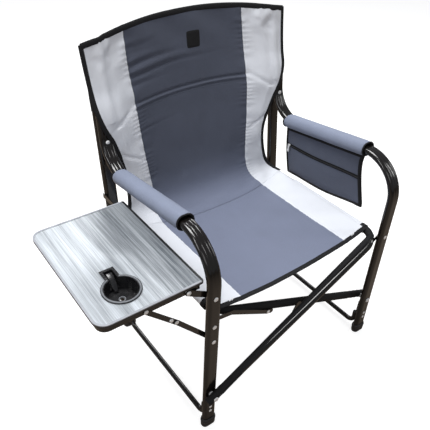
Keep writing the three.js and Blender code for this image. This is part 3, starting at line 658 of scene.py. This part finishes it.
def smooth_table(share):
    """The stations' values at a share of the way, by Catmull-Rom."""
    keys = STATIONS[:, 0]
    k = int(np.clip(np.searchsorted(keys, share, "right") - 1, 0, len(keys) - 2))
    t = (share - keys[k]) / (keys[k + 1] - keys[k])
    p1, p2 = STATIONS[k, 1:], STATIONS[k + 1, 1:]
    span = keys[k + 1] - keys[k]
    before, after = max(k - 1, 0), min(k + 2, len(keys) - 1)
    m1 = (p2 - STATIONS[before, 1:]) / (keys[k + 1] - keys[before]) * span
    m2 = (STATIONS[after, 1:] - p1) / (keys[after] - keys[k]) * span
    return ((2 * t**3 - 3 * t**2 + 1) * p1 + (t**3 - 2 * t**2 + t) * m1
            + (3 * t**2 - 2 * t**3) * p2 + (t**3 - t**2) * m2)


RAIL_TOP_X = 276  # the seat cloth turns down beyond this
LEFT_SEAM, RIGHT_SEAM = 6, 7  # where a station's values hold the panel seams
CLOTH_THICKNESS = 0.0018


def half_at(values, x):
    """The sling's half width on the side where x is."""
    return values[2] if x < 0 else values[3]


def bump_at(value, centre, width):
    """1 at the centre, and near 0 from twice the width on."""
    return math.exp(-((value - centre) / width) ** 2)


# Creases in the centre panel that start at its left seam: share of the way, reach, depth.
CREASES = ((0.907, 110, 3.4), (0.882, 175, 4.4), (0.86, 80, 1.8), (0.948, 75, 1.4),
           (0.735, 90, 0.9))
LUMBAR_SHARE, LUMBAR_TILT = 0.818, 0.003  # the sewn channel, and its rise towards the right post


def ripple(x, share, across, along, seed):
    """Noise on the cloth: across is its size in millimetres, along its waves over the sling."""
    return noise.noise(Vector((x / across, share * along, seed)))


def crease_depth(x, share, seam):
    """Folds that start at the left seam and fade towards the middle, with a soft lip each."""
    out, run = 0.0, x - seam
    if run > 0:
        for at, reach, depth in CREASES:
            line = at + 0.00003 * run + 0.0016 * math.sin(run / 37 + at * 90)
            lip = 0.8 * bump_at(share, line + 0.012, width=0.009)
            out += depth * bump_at(run, 0, reach) * (lip - bump_at(share, line, width=0.0045))
    return out


def side_panel_folds(x, share):
    """Gathers under the hem's corners, a roll beside each post, and creases across the panel."""
    x_out = abs(x)
    gather = math.sin(x / 12 + 3 * ripple(x, share, across=30, along=30, seed=2))
    out = 4.5 * bump_at(x_out, 262, width=50) * bump_at(share, 0.965, width=0.03) * gather
    out += 2.6 * bump_at(x_out, 292, width=10) * (share > 0.8)
    out -= 3.0 * bump_at(x_out, 272, width=12) * (share > 0.78)
    low_crease = bump_at(share, 0.665 + 0.0007 * (x_out - 240), width=0.007)
    high_crease = bump_at(share, 0.80 - 0.0005 * (x_out - 240), width=0.008)
    panel = 5.0 * ripple(x, share, across=55, along=16, seed=6.5) - 3.2 * low_crease
    return out + bump_at(x_out, 245, width=48) * (panel - 2.6 * high_crease)


def lumbar_channel(offset):
    """Two sewn grooves with a soft ridge between them."""
    grooves = 3.4 * bump_at(offset, 0, width=0.0036) + 2.2 * bump_at(offset, -0.014, width=0.0036)
    return 1.6 * bump_at(offset, -0.007, width=0.005) - grooves


def wrinkle(x, share, values):
    """How far the cloth stands off its smooth surface towards the sitter, in millimetres."""
    side = x / half_at(values, x)
    seams = values[LEFT_SEAM], values[RIGHT_SEAM]
    in_centre = seams[0] < x < seams[1]
    out = 1.5 * ripple(x, share, across=95, along=7, seed=1.5)
    out += 0.6 * ripple(x, share, across=30, along=22, seed=4.5)
    if share > SEAM_SHARE:
        out += crease_depth(x, share, seams[0]) + side_panel_folds(x, share)
        slack = ripple(x, share, across=60, along=9, seed=8.5)
        out += 2.5 * bump_at(share, 0.6, width=0.1) * slack
        if in_centre:
            out += 2.2 * bump_at(share, 0.97, width=0.045) * math.sin(x / 26 + share * 40)
            out += lumbar_channel(share - LUMBAR_SHARE - LUMBAR_TILT * side)
    # the panel seams pull the cloth in, and pucker it beside them
    for seam in seams:
        pucker = math.sin(share * 330 + 5 * math.sin(share * 41))
        out += 0.7 * bump_at(x, seam, width=22) * pucker - 1.5 * bump_at(x, seam, width=4)
    if in_centre:
        out -= 2.0 * bump_at(share, SEAM_SHARE, width=0.006)
    out += 1.8 * bump_at(share, SEAM_SHARE + 0.03, width=0.016) * math.sin(x / 31 + 1)
    return out * min(1.0, (1 - abs(side)) * 14 + 0.15)


def cloth_point(x_share, share, values=None):
    """A point of the sling; x_share runs from -1 to 1 across it."""
    values = smooth_table(share) if values is None else values
    cy, cz, left, right, ey, ez, _, _ = values
    # the cloth lies flat on the rails and posts outside this share of its half width
    flat = 0.95 - 0.085 * min(max((share - 0.5) / 0.3, 0.0), 1.0)
    weight = min(abs(x_share) / flat, 1.0) ** 2.3
    x = x_share * (left if x_share < 0 else right)
    y = cy + (ey - cy) * weight + 0.03 * x * max(0.0, 1 - share / SEAM_SHARE)
    z = cz + (ez - cz) * (weight if share < 0.5 else abs(x_share) ** 2.0)
    if share <= SEAM_SHARE and abs(x) > RAIL_TOP_X:  # over the rail and down its outer side
        z -= 3.5 * ((abs(x) - RAIL_TOP_X) / 12) ** 2
    return np.array([x, y, z])


def cloth_normal(x_share, share):
    """The smooth surface's normal, towards the sitter."""
    a = cloth_point(min(x_share + 0.01, 1), share) - cloth_point(max(x_share - 0.01, -1), share)
    b = cloth_point(x_share, min(share + 0.004, 1)) - cloth_point(x_share, max(share - 0.004, 0))
    n = np.cross(a, b)
    return n / np.linalg.norm(n)


def cloth_at(x, share, lift=0.0):
    """A point at a width in millimetres, on the cloth or lifted towards the sitter."""
    values = smooth_table(share)
    x_share = float(np.clip(x / half_at(values, x), -1, 1))
    return (cloth_point(x_share, share, values)
            + cloth_normal(x_share, share) * (wrinkle(x, share, values) + lift))


def cloth_grid(first, last, rows):
    """Points, faces and zones (0 pale, 1 slate) of the sling between two shares."""
    points = []
    for j in range(rows + 1):
        share = first + (last - first) * j / rows
        values = smooth_table(share)
        edges = (-values[2], values[LEFT_SEAM], values[RIGHT_SEAM], values[3])
        xs = [edges[0]]
        for zone, count in enumerate(SEAT_COLUMNS):
            step = (edges[zone + 1] - edges[zone]) / count
            xs += [edges[zone] + step * (k + 1) for k in range(count)]
        for x in xs:
            x_share = x / half_at(values, x)
            lift = wrinkle(x, share, values)
            points.append(cloth_point(x_share, share, values) + cloth_normal(x_share, share) * lift)
    zones = np.repeat((0, 1, 0), SEAT_COLUMNS)
    return points, grid_faces(len(zones) + 1, rows), np.tile(zones, rows)


def line_on_cloth(xs, shares, lift):
    return np.array([cloth_at(x, s, lift) for x, s in zip(xs, shares)])


def ribbon(path, normals, width, thick):
    """A soft flat band along a path: width across the path in the cloth, thick along normals."""
    a = np.arange(10) * 2 * math.pi / 10
    section = np.stack([width / 2 * np.sign(np.cos(a)) * np.abs(np.cos(a)) ** 0.7,
                        thick / 2 * np.sin(a)], 1)
    return sweep(path, section, np.cross(normals, directions(path)))


def stitches(path, normals, length=2.6, gap=1.8, radius=0.45):
    """A run of short thread dashes along a path."""
    steps = np.linalg.norm(np.diff(path, axis=0), axis=1)
    run = np.concatenate([[0], np.cumsum(steps)])
    parts = []
    for start in np.arange(1.0, run[-1] - length, length + gap):
        ends = [np.array([np.interp(s, run, path[:, i]) for i in range(3)])
                for s in (start, start + length / 2, start + length)]
        up = normals[int(np.searchsorted(run, start)) - 1]
        ends[1] = ends[1] + up * 0.35
        parts.append(sweep(ends, circle(radius, 5), up + 0.01))
    return joined(parts)


def thicken(piece, thickness):
    """Gives a sheet its thickness in metres, behind the modelled face."""
    modifier = piece.modifiers.new("cloth_thickness", "SOLIDIFY")
    modifier.thickness = thickness
    modifier.offset = -1.0


def sling(name, first, last, rows, body, stands_for):
    """One cloth of the sling, between two shares of the way."""
    points, faces, zones = cloth_grid(first, last, rows)
    cloth = make(name, points, faces, [MAT_PALE, MAT_SLATE], body, "slate_fabric", stands_for,
                 zones, sharp=80)
    thicken(cloth, CLOTH_THICKNESS)
    return cloth


HEM_LIFT = -1.0  # the bindings' centre lines lie this far behind the cloth's face


def edge_line(side, first, last, count):
    shares = np.linspace(first, last, count)
    path = np.array([cloth_point(side, s) for s in shares])
    normals = np.array([cloth_normal(side * 0.999, s) for s in shares])
    return path + normals * HEM_LIFT, normals


def across_line(share, count):
    xs = np.linspace(-1.0, 1.0, count)
    values = smooth_table(share)
    path = np.array([cloth_at(x * half_at(values, x), share, HEM_LIFT) for x in xs])
    normals = np.array([cloth_normal(x * 0.999, share) for x in xs])
    return path, normals


SEWN_LIFT = 0.25  # how far a thread's middle stands off the cloth
TOP_HEM_SHIFT = np.array([0, -0.6, -4])


def hems():
    """Black binding along the front hem, the top hem and the back's two edges."""
    path, normals = across_line(0.0, 60)
    front = webbing_piece("seat_front_binding", ribbon(path, normals, 15, 4.4), "seat")
    path, normals = across_line(1.0, 80)
    top = ribbon(path + TOP_HEM_SHIFT, normals, 16, 5.0)
    back = [webbing_piece("back_top_binding", top, "left_side")]
    for side, sign in SIDES:
        path, normals = edge_line(sign, 0.375, 1.0, 90)
        edge = ribbon(path, normals, 13, 5)
        back.append(webbing_piece("back_edge_binding_" + side, edge, "left_side"))
    return [front], back


def sewn_line(xs, shares):
    """A row of stitches through the given widths and shares of the sling."""
    path = line_on_cloth(xs, shares, SEWN_LIFT)
    normals = np.array([cloth_normal(x / half_at(smooth_table(s), x), s)
                        for x, s in zip(xs, shares)])
    return stitches(path, normals)


def panel_seam(cloth, side, first, last, count):
    """The thread just outside the seam between a light panel and the slate one."""
    index, inset = (LEFT_SEAM, 3.5) if side == "left" else (RIGHT_SEAM, -3.5)
    shares = np.linspace(first, last, count)
    xs = [smooth_table(s)[index] - inset for s in shares]
    return make(f"{cloth}_seam_{side}", *sewn_line(xs, shares), [MAT_THREAD],
                "seat" if cloth == "seat" else "left_side", "pale_fabric")


def lumbar_stitching():
    """Two rows of stitching along the lumbar channel."""
    xs = np.linspace(-196, 184, 90)
    rows = []
    for offset in (0.0058, -0.0188):
        shares = [LUMBAR_SHARE + LUMBAR_TILT * x / HALF_SPAN + offset for x in xs]
        rows.append(sewn_line(xs, shares))
    return make("lumbar_stitching", *joined(rows), [MAT_DARK_THREAD], "left_side", "slate_fabric")


def bar_tacks():
    """White bar tacks at both ends of the front hem."""
    share, tacks = 0.004, []
    for x in (-233, -226, 224, 231):
        path = np.array([cloth_at(x + d, share + d * 0.0006, 3.0) for d in (-5, 0, 5)])
        tacks.append(sweep(path, circle(1.3, 8), (0, 0, 1)))
    return make("bar_tacks", *joined(tacks), [MAT_THREAD], "seat", "pale_fabric")


PATCH_X, PATCH_SHARE, PATCH_WIDE, PATCH_HIGH = 15.0, 0.928, 44.0, 38.0
PATCH_CELLS = 12
BACK_PER_SHARE = 948.0  # millimetres of back to a whole share, near the patch


def patch():
    """A plain rounded patch lying on the back."""
    grid = []
    for j in range(PATCH_CELLS + 1):
        for i in range(PATCH_CELLS + 1):
            u, v = 2 * i / PATCH_CELLS - 1, 2 * j / PATCH_CELLS - 1
            across = u * (1 - 0.06 * v**6) * PATCH_WIDE / 2
            up = v * (1 - 0.06 * u**6) * PATCH_HIGH / 2
            lift = 0.2 if max(abs(u), abs(v)) > 0.95 else 1.3
            grid.append(cloth_at(PATCH_X + across, PATCH_SHARE + up / BACK_PER_SHARE, lift))
    mesh = (grid, grid_faces(PATCH_CELLS + 1, PATCH_CELLS))
    return webbing_piece("plain_patch", mesh, "left_side")


seat_cloth = sling("seat_cloth", 0.0, SEAM_SHARE, 64, "seat", "seat_sling")
back_cloth = sling("back_cloth", SEAM_SHARE, 1.0, 190, "left_side", "back_sling")
seat_pieces, back_pieces = hems()
for seam_side, _ in SIDES:
    seat_pieces.append(panel_seam("seat", seam_side, 0.02, 0.365, 60))
    back_pieces.append(panel_seam("back", seam_side, 0.385, 0.982, 110))
back_pieces += [lumbar_stitching(), patch()]
seat_pieces.append(bar_tacks())


# ---- sleeves on the posts and rails
def post_sleeves():
    """The back's sleeve over each post's top, closed above it."""
    levels = [(z, 0.0) for z in np.linspace(748, 898, 22)] + [(903, 0.6), (907, 1.6), (909, 5.0)]
    for side, sign in SIDES:
        rings = []
        for z, closing in levels:
            grow = 1.7 + 0.35 * math.sin(z / 11 + sign) - closing
            section = oval(TUBE_WIDE + 2 * grow, TUBE_DEEP + 2 * grow)
            wobble = np.array([noise.noise(Vector((p[0] / 14, p[1] / 14, z / 24))) for p in section])
            section = section * (1 + 0.02 * wobble[:, None])
            rings.append(level_ring(section, sign * HALF_SPAN, post_y(z), z))
        make("post_sleeve_" + side, *tube_mesh(rings), [MAT_LINING], side + "_side",
             "black_webbing", "back_sleeve_" + side, sharp=60)


def rail_ring(sign, y, radius, swell=0.0):
    """A ring round a seat rail, with a soft unevenness."""
    a = np.arange(28) * 2 * math.pi / 28
    r = radius + swell * np.sin(y / 13 + 2 * a)
    return np.column_stack([sign * RAIL_X + r * np.cos(a), np.full(28, y),
                            RAIL_Z + r * np.sin(a)])


def rail_sleeves():
    """The seat's sleeve on each rail, with a cuff and black webbing at its front end."""
    # side, its sign, the cross frame, the sleeve's two ends, and how far in the webbing reaches
    for side, sign, letter, start, stop, inner in (("left", -1, "b", 60, 404, 240),
                                                   ("right", 1, "a", 52, 352, 271)):
        body = "frame_" + letter
        rings = [rail_ring(sign, y, 11.4, 0.35) for y in np.linspace(start, stop, 40)]
        sleeve = make("rail_sleeve_" + side, *tube_mesh(rings, caps=False), [MAT_PALE], body,
                      "pale_fabric", "seat_sleeve_" + side, sharp=70)
        thicken(sleeve, 0.001)
        rings = [rail_ring(sign, y, 12.4) for y in np.linspace(start - 6, start + 9, 6)]
        cuff = webbing_piece("rail_cuff_" + side, tube_mesh(rings, caps=False), body)
        thicken(cuff, 0.0012)
        line = dense(cross_line(letter, sign), 6)
        line = np.array([p for p in line if p[1] < start + 8 and abs(p[0]) > inner])
        rings = np.array([circle(11.3 + 0.4 * math.sin(k * 1.7)) for k in range(len(line))])
        webbing_piece("corner_webbing_" + side, sweep(line, rings, (0, 0, 1)), body)


post_sleeves()
rail_sleeves()


# ---- arm pads
PAD_REAR, PAD_FRONT, PAD_RINGS = 436, 116, 54
PAD_CLOSING = (3.0, 1.1, 0.3)  # how far the pad's wall turns in over its last rings
PAD_WIDE, PAD_DEEP = 50, 41


def arm_z(y):
    """Height of the arm tube's centre line."""
    return ARM_AT_LEG - ARM_SLOPE * y


def arm_pad_shell(path):
    """The padded outside, the lining inside, and the two mouths that join them."""
    sections = []
    for k, (_, y, _) in enumerate(path):
        end = min(k, len(path) - 1 - k)
        close = PAD_CLOSING[end] if end < len(PAD_CLOSING) else 0.0
        section = oval(PAD_WIDE - 2 * close, PAD_DEEP - 2 * close, 18)
        angle = np.arctan2(section[:, 1], section[:, 0])
        puff = np.array([noise.noise(Vector((math.cos(t) * 1.4, math.sin(t) * 1.4, y / 42)))
                         for t in angle])
        sections.append(section * (1 + 0.022 * puff[:, None]))
    outer = sweep(path, np.array(sections), caps=False)
    lining = oval(43, 31, 18)
    inner = sweep(path[[0, 4, -5, -1]], lining, caps=False)
    points, faces = joined([outer, (inner[0], [tuple(reversed(f)) for f in inner[1]])])
    count, base = len(lining), len(outer[0])
    last, inner_last = (len(path) - 1) * count, base + 3 * count
    for j in range(count):
        i = (j + 1) % count
        faces.append((base + j, base + i, i, j))
        faces.append((last + j, last + i, inner_last + i, inner_last + j))
    return points, faces, [0] * len(outer[1]) + [1] * (len(faces) - len(outer[1]))


def arm_pads():
    for side, sign in SIDES:
        x, body = sign * HALF_SPAN, side + "_side"
        path = np.array([(x, y, arm_z(y)) for y in np.linspace(PAD_FRONT, PAD_REAR, PAD_RINGS)])
        points, faces, zones = arm_pad_shell(path)
        pad = make("arm_pad_cover_" + side, points, faces, [MAT_ARM, MAT_LINING], body,
                   "arm_fabric", "arm_pad_" + side, zones, sharp=70)
        # piping round both mouths and the sewn seam underneath
        trims = []
        for y in (PAD_FRONT + 0.5, PAD_REAR - 0.5):
            ring = oval(46, 36, 18)
            loop = np.column_stack([x + ring[:, 0], y + ring[:, 1] * 0.13, arm_z(y) + ring[:, 1]])
            trims.append(sweep(loop, circle(2.4, 8), (0, 1, 0), closed=True))
        seam = path[2:-2] + np.array([-sign * 5.0, 0, -20.2])
        trims.append(sweep(seam, oval(7, 2.2, 4)))
        webbing_piece("arm_pad_piping_" + side, joined(trims), body)


arm_pads()


# ---- pouch
POUCH_LENGTH, POUCH_DROP = 312.0, 168.0
POUCH_CORNER = (309, 122, 613)  # the top front corner
POUCH_CELLS = (44, 26)  # along and down


def pouch_point(a, b, bulge):
    """a runs 0 to 1 from rear to front, b 0 to 1 from top to bottom."""
    front_pull = 12 * math.sin(math.pi * b**0.6) * max(0, (a - 0.6) / 0.4) ** 2
    rear_push = 5 * math.sin(math.pi * b) * max(0, (0.3 - a) / 0.3) ** 2
    along = POUCH_LENGTH * (1 - a) + front_pull + rear_push
    down = (POUCH_DROP + 9 * math.sin(math.pi * a) ** 2 * b - 6 * (1 - a)) * b
    slope = math.atan(ARM_SLOPE)
    x, y, z = POUCH_CORNER
    return np.array([x + 5 * b + bulge, y + along * math.cos(slope) - down * math.sin(slope),
                     z - along * math.sin(slope) - down * math.cos(slope)])


def fullness(a, b, edge=1.0):
    """How far each wall of the bag stands out from its middle plane."""
    return (2.2 + 4.4 * math.sin(math.pi * b) * math.sin(math.pi * a)) * edge**0.6


def pouch_wall(face):
    """The points of one wall, inner (-1) or outer (1), with its folds under the top band."""
    along, down = POUCH_CELLS
    grid = []
    for a, b in ((i / along, j / down) for j in range(down + 1) for i in range(along + 1)):
        edge = min(1, 9 * min(a, 1 - a, b * 0.8 + 0.02, 1 - b))
        fold = 1.1 * noise.noise(Vector((a * 5, b * 4, 2 + face)))
        fold += 0.8 * math.sin(a * 31) * math.exp(-((b - 0.17) / 0.14) ** 2) * edge
        grid.append(pouch_point(a, b, face * (fullness(a, b, edge) + 0.6) + fold * edge))
    return grid


def round_trip(along, down):
    """Once round the rim of a grid of cells, as (i, j)."""
    return ([(i, 0) for i in range(along)] + [(along, j) for j in range(down)]
            + [(along - i, down) for i in range(along)] + [(0, down - j) for j in range(down)])


def pouch():
    along, down = POUCH_CELLS
    walls = [pouch_wall(-1), pouch_wall(1)]
    total = len(walls[0])
    front = grid_faces(along + 1, down)
    faces = [tuple(reversed(f)) for f in front] + [tuple(i + total for i in f) for f in front]
    rim = [j * (along + 1) + i for i, j in round_trip(along, down)]
    faces += [(a, b, total + b, total + a) for a, b in zip(rim, rim[1:] + rim[:1])]
    make("pouch_bag", np.vstack(walls), faces, [MAT_POUCH], "right_side", "slate_fabric",
         "pouch", sharp=70)
    # binding round the rim, thicker down the front edge
    loop = [(i / 30, j / 20) for i, j in round_trip(30, 20)]
    path = np.array([pouch_point(a, b, 0) for a, b in loop])
    rings = np.array([circle(4.3 + 1.6 * max(0.0, (a - 0.9) / 0.1), 12) for a, _ in loop])
    webbing_piece("pouch_binding", sweep(path, rings, closed=True), "right_side")
    return pouch_zip()


def pouch_zip():
    """The band under the pad, and the zip's tape and teeth; returns the zip's line."""
    shares = np.linspace(0.015, 0.99, 70)

    def on_face(a, b):
        return pouch_point(a, b, -(fullness(a, b) + 1.2))

    line = np.array([on_face(a, 0.375 + 0.09 * a + 0.012 * math.sin(a * 6)) for a in shares])
    top_line = np.array([on_face(a, 0.045) for a in shares])
    band = np.array([(-0.9, -5.4), (0.5, -5.4), (0.9, -1.5), (0.9, 1.5), (0.5, 5.4), (-0.9, 5.4)])
    webbing_piece("pouch_top_band", sweep(top_line, band * (1, 0.7), (-1, 0, 0)), "right_side")
    teeth = []
    for here, there in zip(line[:-1], line[1:]):
        d = (there - here) / np.linalg.norm(there - here)
        up = np.array([0, -d[2], d[1]]) * 1.8
        for t in (0.0, 0.33, 0.66):
            p = here * (1 - t) + there * t + np.array([-1.5, 0, 0])
            teeth.append(sweep([p - up, p + up], circle(0.55, 6)))
    make("zip_strip", *sweep(line, band, (-1, 0, 0)), [MAT_BIND], "right_side", "plastic",
         "zip_tape")
    make("zip_teeth", *joined(teeth), [MAT_PLASTIC], "right_side", "plastic")
    return line


def slider(line):
    """The zip's slider at the rear end with its puller hanging."""
    at = line[2] + np.array([-2.6, 0, 0])
    d = (line[6] - line[2]) / np.linalg.norm(line[6] - line[2])
    up = np.array([0, d[2], -d[1]])
    top = at + np.array([-2.6, 0, 0])
    # each is its distance along or up, then its section's width and depth
    body = ((-5, 2.0, 5), (-2.5, 3.4, 8), (2.5, 3.4, 8), (5, 2.0, 4))
    puller = ((2, 1.2, 3), (-4, 1.4, 4.5), (-20, 1.4, 6), (-23, 1.2, 4))
    parts = [sweep([start + way * step for step, _, _ in stations],
                   np.array([oval(wide, deep, 5) for _, wide, deep in stations]), (-1, 0, 0))
             for start, way, stations in ((at, d, body), (top, up, puller))]
    make("zip_puller", *joined(parts), [MAT_STEEL], "zip_slider", "steel", "zip_slider")


slider(pouch())


# ---- cup holder details
CUP_X, CUP_Y, CUP_TOP = -496.0, 88.0, 548.3
CUP_RIM_RADIUS, CUP_CHANNEL_HALF = 42.4, 13


def cup_details():
    """The rim, open at the mug handle's channel, the drain, and the sprung tongue."""
    ring = circle(CUP_RIM_RADIUS, 72) + (CUP_X, CUP_Y)
    points = [(x, y, CUP_TOP - 0.2) for x, y in ring
              if y <= CUP_Y or abs(x - CUP_X) >= CUP_CHANNEL_HALF]
    start = next(i for i, p in enumerate(points) if p[0] < CUP_X and p[1] > CUP_Y + 30)
    rim = sweep(points[start:] + points[:start], circle(2.1, 10), (0, 0, 1))
    drain = [level_ring(circle(r, 28), CUP_X, CUP_Y, z)
             for r, z in ((8.5, 516.2), (8.2, 517.2), (6.4, 517.4), (5.4, 516.0), (5.2, 513.8))]
    make("cup_rim", *joined([rim, tube_mesh(drain, caps=False)]), [MAT_RIM], "table", "grey_trim")
    # distance behind the well's middle, height, width and thickness
    tongue = ((61, 545, 15, 3), (52, 543.5, 15, 3), (42, 537, 14, 2.6), (33, 527, 12.5, 2.4),
              (26, 519, 9, 2))
    path = [(CUP_X, CUP_Y + back, z) for back, z, _, _ in tongue]
    sections = np.array([oval(wide, thick, 5) for _, _, wide, thick in tongue])
    make("cup_tongue", *sweep(path, sections), [MAT_CUP], "table", "plastic")


cup_details()


def declare_cloth():
    """Gives each piece of the seat and of the back its own copy of its mesh."""
    for piece in [seat_cloth, *seat_pieces]:
        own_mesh(piece)
    for piece in [back_cloth, *back_pieces]:
        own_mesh(piece)


declare_cloth()


# ---- studio
def seen_directly(tree, shown, felt):
    """shown where the camera sees it, felt where light bounces off it."""
    path = tree.nodes.new("ShaderNodeLightPath")
    mix = tree.nodes.new("ShaderNodeMix")
    mix.data_type = "RGBA"
    tree.links.new(path.outputs["Is Camera Ray"], mix.inputs[0])
    mix.inputs[6].default_value = (*felt, 1)
    mix.inputs[7].default_value = (*shown, 1)
    return mix.outputs[2]


FLOOR_HALF = 12  # metres
# name, place, target, width, height, power
LIGHTS = (("overhead", (-0.4, 0.38, 2.9), (0.0, 0.05, 0), 1.15, 1.35, 80),
          ("front_fill", (-1.9, -2.6, 2.2), (0, 0, 0.5), 1.8, 1.4, 14),
          ("left_strip", (-2.3, -0.3, 1.9), (0, 0, 0.4), 0.3, 1.8, 16),
          ("right_strip", (2.2, -1.4, 2.0), (0, 0, 0.4), 0.35, 1.6, 16),
          ("rear", (1.7, 2.3, 2.3), (0, 0, 0.4), 2.4, 0.8, 62))


def backdrop():
    """A white world and a pale floor, both darker to bounced light."""
    world = bpy.data.worlds.new("studio")
    world.use_nodes = True
    sky = seen_directly(world.node_tree, (1, 1, 1), (0.3, 0.31, 0.33))
    world.node_tree.links.new(sky, world.node_tree.nodes["Background"].inputs["Color"])
    bpy.context.scene.world = world
    bpy.context.scene.view_settings.view_transform = "Standard"
    mesh = bpy.data.meshes.new("floor")
    corners = [(x * FLOOR_HALF, y * FLOOR_HALF, 0) for x, y in ((-1, -1), (1, -1), (1, 1), (-1, 1))]
    mesh.from_pydata(corners, [], [(0, 1, 2, 3)])
    floor = bpy.data.objects.new("floor", mesh)
    floor.location.z = -0.0006
    bpy.context.scene.collection.objects.link(floor)
    pale = Nodes("pale_floor", (0.5, 0.5, 0.5), 0.9, Specular_IOR_Level=0.1)
    pale.color(seen_directly(pale.tree, (0.4, 0.4, 0.4), (0.33, 0.265, 0.21)))
    glow = seen_directly(pale.tree, (0.8, 0.8, 0.8), (0, 0, 0))
    pale.tree.links.new(glow, pale.shader.inputs["Emission Color"])
    pale.shader.inputs["Emission Strength"].default_value = 1.0
    mesh.materials.append(pale.material)


def lights():
    for name, place, target, width, height, power in LIGHTS:
        data = bpy.data.lights.new(name, "AREA")
        data.shape = "RECTANGLE"
        data.size, data.size_y = width, height
        data.energy = power
        light = bpy.data.objects.new(name, data)
        light.location = place
        aim = Vector(target) - Vector(place)
        light.rotation_euler = aim.to_track_quat("-Z", "Y").to_euler()
        bpy.context.scene.collection.objects.link(light)


backdrop()
lights()
